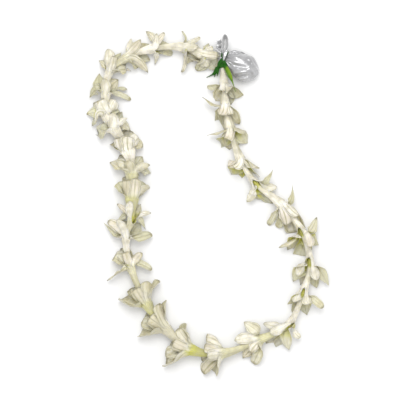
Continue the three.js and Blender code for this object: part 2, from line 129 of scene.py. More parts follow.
threadBend = (218.5, 55, 9)
ribbonKnotSpot = (221, 59, 8)
leafKnotSpot = (222.4, 65, 8)

# the string's route, a closed spline through the two knots and every mouth
routeSpots = [ribbonKnotSpot, leafKnotSpot] + [mouth for mouth, tips in floretPlan] + [threadBend]
routePoints = np.array([place(spot) for spot in routeSpots])
spanCount = len(routePoints)
routeStep = 1e-4


def routePoint(t):
    p = spanCount * (t % 1.0)
    i = int(math.floor(p)) % spanCount
    w = p - math.floor(p)
    x0, x1, x2, x3 = (routePoints[(i + k) % spanCount] for k in (-1, 0, 1, 2))
    d0, d1, d2 = (np.sum((b - a) ** 2) ** 0.25 for a, b in ((x0, x1), (x1, x2), (x2, x3)))
    t1 = ((x1 - x0) / d0 - (x2 - x0) / (d0 + d1) + (x2 - x1) / d1) * d1
    t2 = ((x2 - x1) / d1 - (x3 - x1) / (d1 + d2) + (x3 - x2) / d2) * d1
    return x1 + t1 * w + (-3 * x1 + 3 * x2 - 2 * t1 - t2) * w ** 2 + (2 * x1 - 2 * x2 + t1 + t2) * w ** 3


def unit(v):
    return v / np.linalg.norm(v)


def station(span, share):
    # a place on the string, with the ways along it, level across it and up from it
    t = (span + share) / spanCount
    along = unit(routePoint(t + routeStep) - routePoint(t - routeStep))
    side = unit(np.cross(along, (0, 0, 1)))
    return {"middle": routePoint(t), "along": along, "side": side, "up": np.cross(side, along)}


def spanLength(span):
    return float(np.linalg.norm(routePoints[(span + 1) % spanCount] - routePoints[span % spanCount]))


def meshPiece(name, points, faces, material, numbers):
    mesh = bpy.data.meshes.new(name)
    mesh.from_pydata([tuple(p) for p in points], [], faces)
    mesh.validate()
    for key, values in numbers.items():
        layer = mesh.attributes.new(key, "FLOAT", "POINT")
        layer.data.foreach_set("value", np.asarray(values, dtype=np.float32))
    mesh.polygons.foreach_set("use_smooth", [True] * len(mesh.polygons))
    mesh.materials.append(material)
    return addObject(name, mesh)


def finishPiece(piece, slot, *nodes):
    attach(piece, "root")
    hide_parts(*nodes)


# small helpers for node trees
def addNode(tree, kind, inputs=None, **settings):
    node = tree.nodes.new(kind)
    for key, value in settings.items():
        setattr(node, key, value)
    for key, value in (inputs or {}).items():
        if isinstance(value, bpy.types.NodeSocket):
            tree.links.new(value, node.inputs[key])
        else:
            node.inputs[key].default_value = value
    return node


def maths(tree, operation, *values):
    return addNode(tree, "ShaderNodeMath", dict(enumerate(values)), operation=operation).outputs[0]


def plus(tree, first, second):
    return maths(tree, "ADD", first, second)


def times(tree, first, second):
    return maths(tree, "MULTIPLY", first, second)


def ramp(tree, value, fromLow, fromHigh, toLow=0.0, toHigh=1.0, smooth=True):
    kind = "SMOOTHSTEP" if smooth else "LINEAR"
    inputs = {0: value, 1: fromLow, 2: fromHigh, 3: toLow, 4: toHigh}
    return addNode(tree, "ShaderNodeMapRange", inputs, interpolation_type=kind).outputs[0]


def attribute(tree, name):
    return addNode(tree, "ShaderNodeAttribute", attribute_name=name).outputs["Fac"]


def noiseOf(tree, spot, scale, detail=2.0):
    inputs = {"Vector": spot, "Scale": scale, "Detail": detail}
    return addNode(tree, "ShaderNodeTexNoise", inputs).outputs["Fac"]


def vectorOf(tree, x, y, z):
    return addNode(tree, "ShaderNodeCombineXYZ", {0: x, 1: y, 2: z}).outputs[0]


def greyOf(tree, tone):
    return addNode(tree, "ShaderNodeCombineColor", {0: tone, 1: tone, 2: tone}).outputs[0]


def mixColours(tree, share, first, second, blend="MIX"):
    inputs = {0: share, 6: first, 7: second}
    return addNode(tree, "ShaderNodeMix", inputs, data_type="RGBA", blend_type=blend).outputs[2]


def layered(tree, colour, *layers):
    # lays colours over one another, each by its share
    for share, over in layers:
        colour = mixColours(tree, share, colour, over)
    return colour


def newMaterial(name):
    material = bpy.data.materials.new(name)
    material.use_nodes = True
    tree = material.node_tree
    where = tree.nodes.new("ShaderNodeTexCoord").outputs["Object"]
    return material, tree, tree.nodes["Principled BSDF"], where


def dress(tree, shader, colour, roughness, height, strength, distance):
    bump = addNode(tree, "ShaderNodeBump", {"Height": height, "Strength": strength, "Distance": distance})
    tree.links.new(bump.outputs[0], shader.inputs["Normal"])
    tree.links.new(colour, shader.inputs["Base Color"])
    tree.links.new(roughness, shader.inputs["Roughness"])


def setValues(shader, values):
    for key, value in values.items():
        shader.inputs[key].default_value = value


# waxy petal: cream outside, a khaki painted shade on the inner face, green-yellow down in the throat, fine
# long veins darkened partly with painted crease shade
petalFinish = {
    "outside": (0.62, 0.58, 0.44, 1), "bright": (0.86, 0.815, 0.70, 1), "inside": (0.60, 0.58, 0.42, 1),
    "paleInsideShade": (0.68, 0.66, 0.505, 1), "throat": (0.52, 0.515, 0.075, 1), "tube": (0.60, 0.56, 0.30, 1),
    "yellowGreen": (0.50, 0.49, 0.10, 1), "green": (0.50, 0.50, 0.085, 1), "beige": (0.50, 0.465, 0.31, 1),
    "blush": (0.62, 0.545, 0.455, 1), "bruise": (0.40, 0.355, 0.22, 1), "edge": (0.41, 0.395, 0.265, 1),
    "vein": (0.41, 0.385, 0.245, 1), "tip": (0.25, 0.23, 0.15, 1), "rough": 0.36,
    "through": {"Subsurface Weight": 0.35, "Subsurface Radius": (1.0, 0.9, 0.5), "Subsurface Scale": 0.002},
    "wax": {"Coat Weight": 0.12, "Coat Roughness": 0.3},
}


def makePetalMaterial():
    # the length runs from 0 at the tube's base over 1 at the mouth to 2 at the petal's tip
    material, tree, shader, where = newMaterial("petal wax")
    look = petalFinish
    along, across = attribute(tree, "alongPetal"), attribute(tree, "acrossPetal")
    inner, own = attribute(tree, "innerFace"), attribute(tree, "ownShade")
    greenBase, beige = attribute(tree, "greenBase"), attribute(tree, "beigeShadeShare")
    green, yellow = attribute(tree, "greenReach"), attribute(tree, "yellowTube")
    cloudy = noiseOf(tree, where, 110.0, 4.0)
    broad = noiseOf(tree, where, 38.0)
    fine = noiseOf(tree, where, 1200.0)
    rosy = times(tree, ramp(tree, own, 0.55, 0.9), ramp(tree, along, 1.1, 1.6, 0.0, 0.65))
    # outside: cream, a little yellower low on the tube, lighter on the backs of the petals, with a beige
    # painted shade on some florets and on petals that stand edge on
    nearBase = times(tree, ramp(tree, along, 0.95, 0.1), ramp(tree, broad, 0.4, 0.6, 0.1, 0.6))
    backs = times(tree, ramp(tree, along, 0.0, 0.9, 0.5, 1.0), ramp(tree, cloudy, 0.35, 0.6, 0.35, 1.0))
    beigeShade = times(tree, beige, ramp(tree, broad, 0.35, 0.55, 0.3, 1.0))
    ofTube = times(tree, yellow, ramp(tree, along, 1.35, 1.0))
    patchy = times(tree, ofTube, ramp(tree, cloudy, 0.3, 0.6, 0.55, 1.0))
    lowest = times(tree, greenBase, ramp(tree, along, 0.30, 0.17))
    outside = layered(tree, look["outside"], (nearBase, look["tube"]), (backs, look["bright"]),
                      (rosy, look["blush"]), (beigeShade, look["beige"]), (patchy, look["yellowGreen"]),
                      (lowest, look["green"]))
    # inside: khaki painted shade, lighter in places, deepening into the green throat
    lighterShade = times(tree, ramp(tree, along, 1.1, 1.8, 0.1, 0.75), ramp(tree, broad, 0.42, 0.6))
    reach = plus(tree, green, ramp(tree, cloudy, 0.3, 0.7, -0.12, 0.12))
    deep = ramp(tree, along, plus(tree, reach, 1.25), plus(tree, reach, 0.9))
    inside = layered(tree, look["inside"], (lighterShade, look["paleInsideShade"]),
                     (times(tree, rosy, 0.5), look["blush"]), (deep, look["throat"]))
    # veins run the length of the petal, a few of them as thin dark lines: partly the veins' own colour,
    # partly painted shade in the creases
    lines = vectorOf(tree, times(tree, across, 8.0), times(tree, along, 0.7), times(tree, own, 40.0))
    veins = noiseOf(tree, lines, 1.5, 3.0)
    drift = ramp(tree, broad, 0.0, 1.0, -2.2, 2.2, False)
    stripe = maths(tree, "COSINE", plus(tree, times(tree, across, 9.6), drift))
    onPetal = times(tree, ramp(tree, along, 0.7, 1.15, 0.25, 1.0), ramp(tree, own, 0.15, 0.75, 0.5, 1.0))
    dark = times(tree, ramp(tree, stripe, 0.45, 1.0), ramp(tree, veins, 0.35, 0.6, 0.25, 1.0))
    dark = times(tree, dark, onPetal)
    # darker rims: partly the petal's own thin edge, partly painted shade
    rimTintAndShade = times(tree, ramp(tree, across, 0.82, 1.0, 0.0, 0.75), ramp(tree, along, 1.0, 1.4))
    worn = times(tree, ramp(tree, cloudy, 0.54, 0.66), ramp(tree, along, 1.5, 1.95, 0.0, 0.7))
    ends = times(tree, ramp(tree, along, 1.9, 1.985), ramp(tree, own, 0.25, 0.6, 0.2, 0.85))
    colour = layered(tree, outside, (inner, inside), (dark, look["vein"]), (rimTintAndShade, look["edge"]),
                     (worn, look["bruise"]), (ends, look["tip"]))
    tone = times(tree, ramp(tree, own, 0.0, 1.0, 0.90, 1.05), ramp(tree, cloudy, 0.3, 0.7, 0.90, 1.06))
    colour = mixColours(tree, 1.0, colour, greyOf(tree, tone), "MULTIPLY")
    height = maths(tree, "SUBTRACT", plus(tree, veins, times(tree, fine, 0.12)), times(tree, dark, 0.6))
    roughness = ramp(tree, fine, 0.3, 0.7, look["rough"] - 0.06, look["rough"] + 0.08)
    dress(tree, shader, colour, roughness, height, 0.7, 0.0012)
    setValues(shader, look["through"])
    setValues(shader, look["wax"])
    return material


petalCount = 6
# sizes at the tube's base, where it leaves the mouth below, halfway, at the throat and at the mouth, in mm
tube = {"radii": (2.4, 2.9, 3.5, 4.8, 5.6), "bores": (1.0, 1.0, 1.7, 3.6, 4.4), "nestDepth": 5.0,
        "firstBase": 0.2, "firstCollar": 0.3, "widensOver": (0.2, 0.95), "rows": 18, "ridge": 0.05}
# in mm, or as shares of the petal's length; a low tip is one under this many metres
petal = {
    "halfWidth": (5.3, 7.3), "shareOfGap": 0.5, "slim": 0.22, "slimOver": (0.45, 0.95),
    "thickness": 0.6, "edge": 0.3, "tipThinner": 0.45, "rootThicker": 0.4, "whorlOffset": 0.45,
    "rootRadius": 5.0, "rootHalf": 2.65, "rootCurve": 5.0, "rootUntil": 0.12, "widensBy": 0.14,
    "flattensFrom": 0.04, "reach": 0.36, "flare": 0.12, "columns": 15, "rows": 28, "crowding": 1.2,
    "lastRow": 0.997, "tangent": 0.01, "wave": (0.3, 1.1), "beats": (1.0, 2.6), "wavesFrom": (0.15, 0.5),
    "twist": 0.45, "skew": 0.16, "ragged": 0.16, "raggedBeats": (5.5, 7.0), "unevenFrom": (0.08, 0.4),
    "crease": 0.45, "creaseBeats": (2.6, 1.6), "creaseApart": 50, "curlOuter": (-3.4, -0.2),
    "curlInner": (-2.0, 1.4), "curlsFrom": 0.6, "ribs": 5, "ribHeight": 0.12, "groove": 0.22,
    "grooveWidth": 0.2,
    "faceUp": (0.55, 1.0), "faceUpFrom": (0.05, 0.6), "lowTip": 0.0085, "turnLimit": 2.2,
    "turnedLimit": 3.1, "edgeOnShade": 0.7, "firstSeed": 400,
}
# the outline's shape and curl: petals that show their backs, petals that lie with their inner face up,
# wider and squarer from the root, the broad ends of a fanned trumpet, long straps, and spikes that taper
# from the root
usualPetal = {"overlap": 3.6, "broader": 1.0, "turns": 1.0, "curls": 1.0}
petalKinds = {
    "back": {**usualPetal, "rootShare": 0.85, "widestAt": 0.58, "point": (1.5, 2.8), "taper": (0.5, 0.9),
             "curve": (5.0, 13.0), "flatBy": 0.7},
    "face": {**usualPetal, "rootShare": 1.0, "widestAt": 0.46, "point": (1.2, 2.2), "taper": (0.75, 1.2),
             "curve": (6.0, 20.0), "flatBy": 0.36, "overlap": 5.6, "broader": 1.45},
    "fan": {**usualPetal, "rootShare": 1.0, "widestAt": 0.8, "point": (2.0, 4.0), "taper": (0.5, 1.0),
            "curve": (10.0, 15.0), "flatBy": 0.7, "overlap": 3.8, "broader": 1.2, "turns": 0.6,
            "curls": 0.2},
    "strap": {**usualPetal, "rootShare": 0.9, "widestAt": 0.72, "point": (2.4, 3.4), "taper": (0.45, 0.6),
              "curve": (6.0, 12.0), "flatBy": 0.5, "curls": 0.6},
    "spike": {**usualPetal, "rootShare": 1.15, "widestAt": 0.12, "point": (0.9, 1.1), "taper": (1.1, 1.4),
              "curve": (5.0, 9.0), "flatBy": 0.6, "curls": 0.5},
}
# single petals, by the place of their tips in the plan: their kind, which way they lie (edge on, or turned
# right over), how wide they are, how their line bows (steps of the plan, to the right and down), and how
# much greener their inner face is
petalTraits = {
    (207, 87): {"kind": "strap", "lie": "turned", "wide": 0.7, "bow": (-1, -3)},
    (242, 97): {"kind": "strap", "wide": 1.5, "bow": (2, -4)}, (202, 98): {"lie": "edgeOn", "bow": (1, -3)},
    (216, 122): {"bow": (2, 0)}, (239, 125): {"wide": 0.75}, (207, 135): {"lie": "edgeOn", "bow": (0, -8)},
    (246, 133): {"lie": "edgeOn", "bow": (1, -5)}, (227, 140): {"kind": "strap", "wide": 1.3},
    (220, 148): {"wide": 1.3}, (230, 150): {"wide": 1.3}, (228, 167): {"wide": 1.2, "bow": (-5, -3)},
    (231, 175): {"wide": 1.2, "green": 0.1}, (242, 178): {"green": 0.3},
    (259, 169): {"lie": "edgeOn", "bow": (-2, -4)}, (258, 178): {"lie": "edgeOn"},
    (273, 169): {"kind": "spike", "lie": "turned", "wide": 1.4, "bow": (1, -1), "green": -0.45},
    (292, 183): {"kind": "spike", "lie": "turned", "wide": 1.6, "bow": (3, 0), "green": -0.4},
    (269, 226): {"kind": "strap", "bow": (-6, -5)}, (278, 228): {"kind": "strap"},
    (287, 225): {"wide": 1.4}, (295, 233): {"kind": "fan", "wide": 2.2},
    (302, 256): {"kind": "fan", "wide": 1.6}, (279, 248): {"lie": "edgeOn", "bow": (-2, -6)},
    (288, 251): {"wide": 1.7, "bow": (-3, -8), "green": 0.05}, (319, 246): {"bow": (-3, 0)},
    (317, 217): {"lie": "turned", "wide": 0.9, "green": -0.4}, (298, 276): {"bow": (-3, -5)},
    (293, 282): {"bow": (-3, -5)},
    (329, 286): {"lie": "turned", "wide": 0.75, "bow": (4, -4), "green": -0.4},
    (323, 308): {"kind": "strap", "lie": "turned", "wide": 1.1, "bow": (6, -7), "green": -0.4},
    (300, 338): {"kind": "strap", "wide": 0.8, "bow": (5, -2)},
    (244, 322): {"wide": 1.4, "bow": (11, -5), "green": -0.5}, (234, 340): {"wide": 1.3, "bow": (0, -3)},
    (253, 365): {"kind": "strap", "wide": 1.3, "bow": (6, 0)}, (214, 373): {"wide": 1.2, "bow": (3, 1)},
    (206, 337): {"bow": (4, -10)}, (165, 365): {"wide": 1.3, "bow": (0, 6)}, (185, 323): {"lie": "edgeOn"},
    (139, 335): {"wide": 1.2, "bow": (0, 7)}, (159, 303): {"lie": "edgeOn"}, (167, 300): {"lie": "edgeOn"},
    (120, 299): {"wide": 1.3, "bow": (0, 10)}, (160, 281): {"lie": "edgeOn"}, (147, 281): {"wide": 0.8},
    (152, 270): {"kind": "strap", "wide": 0.8}, (106, 280): {"lie": "edgeOn", "bow": (0, 10)},
    (113, 259): {"kind": "strap", "wide": 1.5},
    (103, 222): {"kind": "spike", "lie": "turned", "wide": 1.3, "bow": (-4, 8)},
    (152, 234): {"kind": "strap", "lie": "turned", "bow": (2, 10)}, (113, 226): {"wide": 0.6},
    (117, 204): {"wide": 0.6}, (146, 230): {"wide": 0.7}, (151, 213): {"wide": 0.7},
    (129, 161): {"lie": "edgeOn"}, (97, 134): {"kind": "strap", "wide": 1.5, "bow": (-2, 2)},
    (100, 100): {"kind": "strap", "wide": 1.5}, (115, 100): {"kind": "strap", "wide": 1.2},
    (127, 118): {"wide": 0.8}, (120, 111): {"wide": 0.8},
    (91, 126): {"lie": "turned", "wide": 1.2, "green": -0.1}, (127, 89): {"kind": "strap", "wide": 0.5},
    (118, 79): {"wide": 1.3}, (89, 98): {"lie": "turned", "bow": (-3, -6)},
    (131, 100): {"kind": "strap", "lie": "turned", "wide": 0.75, "bow": (2, 4)},
    (99, 73): {"lie": "turned", "wide": 1.5, "bow": (-5, 0)}, (98, 60): {"wide": 0.6},
    (108, 49): {"wide": 1.3}, (132, 39): {"bow": (-3, -2)}, (139, 67): {"bow": (0, 3)},
    (148, 72): {"bow": (0, 3)}, (155, 64): {"wide": 0.6},
    (173, 54): {"kind": "strap", "wide": 0.7, "bow": (0, -4)}, (184, 30): {"lie": "edgeOn", "wide": 0.6},
    (208, 42): {"wide": 0.6}, (200, 37): {"kind": "strap", "wide": 0.5},
    (181, 72): {"kind": "strap", "wide": 0.9, "bow": (-3, 0)}, (193, 62): {"wide": 2.0, "bow": (4, 4)},
    (203, 59): {"wide": 1.8, "bow": (0, 6)}, (197, 71): {"wide": 1.3, "bow": (-3, 0)},
}
# what sets single florets apart: on which side the mouth lies open (-1 left, 1 right as the string runs),
# whether the petals fan out as one trumpet, how far the throat's green spreads up them, how much khaki
# painted shade their inner face gets, how yellow the tube is, how wide the petals and the mouth are, and
# how much beige painted shade the whole floret gets
floretTraits = {
    1: {"wide": 1.2}, 2: {"wide": 1.2}, 3: {"green": 0.45, "wide": 1.2, "mouth": 1.25},
    4: {"green": 0.6, "wide": 1.2, "mouth": 1.1}, 5: {"open": -0.1, "green": 0.5, "wide": 1.1},
    6: {"wide": 1.15, "mouth": 1.15}, 7: {"open": 0.3, "green": 0.55, "wide": 1.1},
    8: {"open": 0.2, "green": 0.4, "wide": 1.1}, 9: {"open": 0.2, "green": 0.36},
    10: {"open": -0.6, "green": 0.45, "wide": 1.15, "inside": 0.6},
    11: {"green": 0.45, "yellow": 0.5, "inside": 0.4},
    12: {"fan": 1, "inside": 0.4, "green": 0.2, "yellow": 0.35, "wide": 1.15, "mouth": 1.15, "beige": 0.3},
    13: {"fan": 1, "inside": 0.4, "green": 0.35, "yellow": 1.0, "wide": 1.3, "mouth": 1.3, "beige": 0.4},
    14: {"fan": 1, "inside": 0.4, "wide": 1.35, "mouth": 1.3, "beige": 0.7},
    15: {"fan": 1, "inside": 0.4, "green": 0.3, "yellow": 0.6, "wide": 1.35, "mouth": 1.25, "beige": 0.7},
    16: {"green": 0.2, "yellow": 0.3, "wide": 1.45, "beige": 0.4}, 17: {"wide": 1.4},
    18: {"open": 0.5, "green": 0.15, "yellow": 0.3},
    19: {"fan": 1, "yellow": 0.6, "wide": 1.05, "mouth": 1.5, "beige": 0.6},
    20: {"yellow": 0.35, "wide": 1.35, "mouth": 1.4, "beige": 0.5},
    21: {"fan": 1, "wide": 1.15, "mouth": 1.7}, 22: {"wide": 1.25, "mouth": 1.3},
    23: {"green": 0.45, "wide": 1.4, "mouth": 1.2}, 24: {"beige": 0.2, "wide": 1.0, "mouth": 1.1},
    25: {"green": 0.1, "wide": 1.1}, 26: {"green": 0.1, "yellow": 0.2, "beige": 0.4, "wide": 1.1},
    27: {"green": 0.2, "mouth": 1.15}, 28: {"green": 0.1, "wide": 1.1, "mouth": 1.1, "beige": 0.2},
    29: {"green": 0.25, "wide": 1.35, "mouth": 1.15, "beige": 0.3},
}
# an open mouth is cut back by this much (mm), over this much of its ring (radians)
openMouth = {"depth": 7.5, "spread": 0.85, "backUntil": 0.5, "narrowing": 0.6, "narrowBy": 0.1,
             "wideAgain": (0.2, 0.65), "aside": 4.2, "turn": 0.9, "beside": 0.9}
# nothing goes below the surface that it lies on; in metres
lowest = {"outside": 0.00002, "inside": 0.00035, "sheet": 0.0003, "soft": 0.0006}


def smoothStep(x, low, high):
    s = min(max((x - low) / (high - low), 0.0), 1.0)
    return s * s * (3 - 2 * s)


def petalOutline(u, kind, point, taper):
    swell = kind["rootShare"] + (1 - kind["rootShare"]) * smoothStep(u, 0, kind["widestAt"])
    past = max(0.0, (u - kind["widestAt"]) / (1 - kind["widestAt"]))
    return swell * max(0.0, 1 - past ** point) ** taper


def outwards(at, angle):
    return math.cos(angle) * at["side"] + math.sin(angle) * at["up"]


def onRing(at, radius, angle):
    return at["middle"] + mm * radius * outwards(at, angle)


def facedTips(mouth, tips, slit):
    # the petals in order round the mouth, evenly spaced and turned to suit the way their tips lie
    turned = []
    for tip in tips:
        away = place(tip) - mouth["middle"]
        turned.append((math.atan2(away @ mouth["up"], away @ mouth["side"]), place(tip)))
    turned.sort(key=lambda entry: entry[0])
    step = 2 * math.pi / petalCount
    turn = math.atan2(sum(math.sin(angle - k * step) for k, (angle, tip) in enumerate(turned)),
                      sum(math.cos(angle - k * step) for k, (angle, tip) in enumerate(turned)))
    if slit is not None:
        # two petals part at the open side of the mouth
        turn = slit - step * (round((slit - turn) / step - 0.5) + 0.5)
    return [tip for angle, tip in turned], [turn + k * step for k in range(petalCount)]


def fromSlit(angle, slit):
    return (angle - slit + math.pi) % (2 * math.pi) - math.pi


def slitSide(root, slit):
    # on which side of the slit a petal next to it stands, and 0 for the others
    if slit is None or abs(fromSlit(root, slit)) >= openMouth["beside"]:
        return 0
    return 1 if fromSlit(root, slit) > 0 else -1


def cutBack(along, angle, slit, share):
    # how an open mouth draws back along its tube
    if slit is None:
        return 0
    depth = openMouth["depth"] * math.exp(-(fromSlit(angle, slit) / openMouth["spread"]) ** 2)
    return -mm * along * depth * share


def hermite(x, knots, values):
    slopes = np.gradient(values, knots)
    i = int(min(max(np.searchsorted(knots, x) - 1, 0), len(knots) - 2))
    h = knots[i + 1] - knots[i]
    s = (x - knots[i]) / h
    return ((2 * s ** 3 - 3 * s ** 2 + 1) * values[i] + (s ** 3 - 2 * s ** 2 + s) * h * slopes[i]
            + (3 * s ** 2 - 2 * s ** 3) * values[i + 1] + (s ** 3 - s ** 2) * h * slopes[i + 1])


def bend(line, u):
    start, control, tip = line
    return (1 - u) ** 2 * start + 2 * u * (1 - u) * control + u * u * tip


def restOn(z, low):
    # softly keeps a height above the surface that it lies on
    over = (z - low) / lowest["soft"]
    return low + lowest["soft"] * np.where(over > 20, over, np.log1p(np.exp(np.minimum(over, 20))))


# where the points of a floret lie: across each petal, along the tube, and on along the petal
acrossShares = np.linspace(-1, 1, petal["columns"])
tubeShares = [r / (tube["rows"] - 1) for r in range(tube["rows"])]
petalShares = [min(1 - (1 - (r + 1) / petal["rows"]) ** petal["crowding"], petal["lastRow"])
               for r in range(petal["rows"])]
alongShares = tubeShares + [1 + u for u in petalShares]


def tubeRow(floret, share):
    # one ring of the tube, its outside and its bore
    knots = floret["knots"]
    at = knots[0] + (knots[-1] - knots[0]) * share
    here = station(0, at)
    widening = 1 + (floret["mouthSize"] - 1) * smoothStep(share, *tube["widensOver"])
    row = np.zeros((2, petalCount, petal["columns"], 3))
    for wall, sizes in enumerate((tube["radii"], tube["bores"])):
        radius = hermite(at, knots, sizes) * widening
        for k, root in enumerate(floret["roots"]):
            for c, v in enumerate(acrossShares):
                swell = tube["ridge"] * share * math.cos(math.pi * v) if wall == 0 else 0
                angle = root + v * math.pi / petalCount
                row[wall, k, c] = onRing(here, radius * (1 + swell), angle)
                row[wall, k, c] += cutBack(here["along"], angle, floret["slit"], share ** 3)
    return row


def levelTurn(forward, acrossWay, inward, facesUp):
    # the turn about the petal's line that would lay it level, with its inner or its outer face up
    level = unit(np.cross(forward, (0, 0, 1)))
    if np.cross(level, forward)[2] * facesUp < 0:
        level = -level
    return math.atan2(level @ inward, level @ acrossWay)


def petalDraws(chance, kind, k):
    # what sets one petal apart from the next, drawn in this order
    return {
        "half": chance.uniform(*petal["halfWidth"]),
        "curve": chance.uniform(*kind["curve"]),
        "wave": chance.uniform(*petal["wave"]),
        "beats": chance.uniform(*petal["beats"]),
        "phases": chance.uniform(0, 2 * math.pi, 2),
        "curl": chance.uniform(*petal["curlInner" if k % 2 else "curlOuter"]) * kind["curls"],
        "point": chance.uniform(*kind["point"]),
        "taper": chance.uniform(*kind["taper"]),
        "twist": chance.uniform(-petal["twist"], petal["twist"]),
        "skew": chance.uniform(-petal["skew"], petal["skew"]),
        "grain": chance.uniform(0, 90),
        "faceUp": chance.uniform(*petal["faceUp"]) * kind["turns"],
    }


def petalHeight(start, u, v, own, tipped, grown):
    # waves, creases, ribs and the groove down the middle, in mm
    phase = own["phases"][0 if v < 0 else 1]
    ripple = own["wave"] * abs(v) ** 2.5 * math.sin(2 * math.pi * own["beats"] * u + phase)
    height = start + own["curl"] * tipped + ripple * smoothStep(u, *petal["wavesFrom"])
    ribs = petal["ribHeight"] * math.cos(math.pi * petal["ribs"] * v) * (1 - v * v)
    groove = petal["groove"] * math.exp(-(v / petal["grooveWidth"]) ** 2)
    height -= (ribs + groove) * smoothStep(u, 0, 0.2) * (1 - tipped)
    acrossBeats, alongBeats = petal["creaseBeats"]
    crease = noise.noise(Vector((v * acrossBeats, u * alongBeats, own["grain"] + petal["creaseApart"])))
    return height + petal["crease"] * crease * grown


def petalSheet(floret, k, chance):
    # one petal as outer and inner points, row by row from the mouth to the tip
    mouth, slit, lines, root = floret["mouth"], floret["slit"], floret["lines"], floret["roots"][k]
    single, mouthSize, fans = floret["singles"][k], floret["mouthSize"], floret["fans"]
    lie, tip = single.get("lie"), lines[k][2]
    facesUp = 1 if lie == "turned" or tip[2] < petal["lowTip"] else -1
    kind = petalKinds[single.get("kind", "fan" if fans else "face" if facesUp == 1 else "back")]
    own = petalDraws(chance, kind, k)
    away = tip - mouth["middle"]
    toSide = abs(away @ mouth["side"]) / np.linalg.norm(away)
    slim = 1 if fans else 1 - petal["slim"] * smoothStep(toSide, *petal["slimOver"])
    wide = floret["wide"] * single.get("wide", 1)
    fullHalf = own["half"] * wide * slim * kind["broader"]
    rootHalf, rootCurve = petal["rootHalf"] * mouthSize, petal["rootCurve"] * mouthSize
    tipCurve = max(own["curve"], rootCurve)
    whorl = petal["whorlOffset"] * (1 if k % 2 else -1)
    faceUp = 0 if lie == "edgeOn" else own["faceUp"]
    turnLimit = petal["turnedLimit" if lie == "turned" else "turnLimit"]
    narrowSide = -slitSide(root, slit)
    acrossWay = unit(np.cross(outwards(mouth, root), mouth["along"]))
    sheet = np.zeros((2, petal["rows"], petal["columns"], 3))
    for r, u in enumerate(petalShares):
        middle = bend(lines[k], u)
        forward = unit(bend(lines[k], u + petal["tangent"]) - bend(lines[k], u - petal["tangent"]))
        acrossWay = unit(acrossWay - forward * (acrossWay @ forward))
        inward = np.cross(acrossWay, forward)
        levelling = levelTurn(forward, acrossWay, inward, facesUp)
        if abs(levelling) > turnLimit:
            levelling = 0
        turned = own["twist"] * u * u + faceUp * levelling * smoothStep(u, *petal["faceUpFrom"])
        sideways = acrossWay * math.cos(turned) + inward * math.sin(turned)
        inward = np.cross(sideways, forward)
        besides = [bend(lines[(k + step) % petalCount], u) for step in (1, -1)]
        gap = 1000 * min(np.linalg.norm(beside - middle) for beside in besides)
        half = min(fullHalf * petalOutline(u, kind, own["point"], own["taper"]),
                   petal["shareOfGap"] * gap + kind["overlap"] * wide)
        half = rootHalf + (half - rootHalf) * smoothStep(u, 0, petal["widensBy"])
        curve = rootCurve + (tipCurve - rootCurve) * smoothStep(u, petal["flattensFrom"], kind["flatBy"])
        tipped = smoothStep(u, petal["curlsFrom"], 1.0) ** 1.5
        grown = smoothStep(u, *petal["unevenFrom"])
        leftRoot = smoothStep(u, 0, petal["rootUntil"])
        thick = petal["thickness"] * (1 - petal["tipThinner"] * tipped)
        thick += petal["rootThicker"] * (1 - leftRoot)
        for c, v in enumerate(acrossShares):
            side = -1 if v < 0 else 1
            alongBeats, apart = petal["raggedBeats"]
            edgeDrift = noise.noise(Vector((u * alongBeats, apart * side, own["grain"])))
            sideHalf = half * (1 + grown * (own["skew"] * side + petal["ragged"] * edgeDrift * abs(v)))
            if side == narrowSide:
                narrowed = openMouth["narrowing"] * smoothStep(u, 0, openMouth["narrowBy"])
                sideHalf *= 1 - narrowed * (1 - smoothStep(u, *openMouth["wideAgain"]))
            angle = v * sideHalf / curve
            cupped = curve * (1 - math.cos(angle)) + whorl * leftRoot
            height = petalHeight(cupped, u, v, own, tipped, grown)
            local = thick * (1 - (1 - petal["edge"]) * v * v)
            spot = middle + mm * (sideways * curve * math.sin(angle) + inward * height)
            around = root + v * math.pi / petalCount
            back = 1 - smoothStep(u, 0, openMouth["backUntil"])
            spot = spot + cutBack(mouth["along"], around, slit, back)
            sheet[0, r, c] = spot - 0.5 * mm * local * inward
            sheet[1, r, c] = spot + 0.5 * mm * local * inward
    return sheet


def petalTrait(tip):
    for flat, single in petalTraits.items():
        if abs(place((*flat, 0))[:2] - tip[:2]).max() < 1e-6:
            return single
    return {}


def petalLine(mouth, tip, root, single, slit, mouthSize):
    # a petal's middle line: where it leaves the mouth, the point that bends it, and its tip
    start = onRing(mouth, petal["rootRadius"] * mouthSize, root)
    reach = petal["reach"] * np.linalg.norm(tip - mouth["middle"])
    control = start + (mouth["along"] + petal["flare"] * outwards(mouth, root)) * reach
    if slitSide(root, slit):
        aside = mouth["up"] * math.cos(slit) - mouth["side"] * math.sin(slit)
        control = control + mm * openMouth["aside"] * slitSide(root, slit) * aside
    bowRight, bowDown = single.get("bow", (0, 0))
    return start, control + plan["step"] * np.array([bowRight, -bowDown, 0]), tip


def tubeKnots(index):
    # where the tube's five sizes come, in spans of the string
    span, nest = index + 1, tube["nestDepth"] * mm
    if index == 0:
        base = [span + tube["firstBase"], span + tube["firstCollar"]]
    else:
        base = [span - nest / spanLength(span - 1), span]
    return base + [span + 0.5, span + 1 - nest / spanLength(span), span + 1.0]


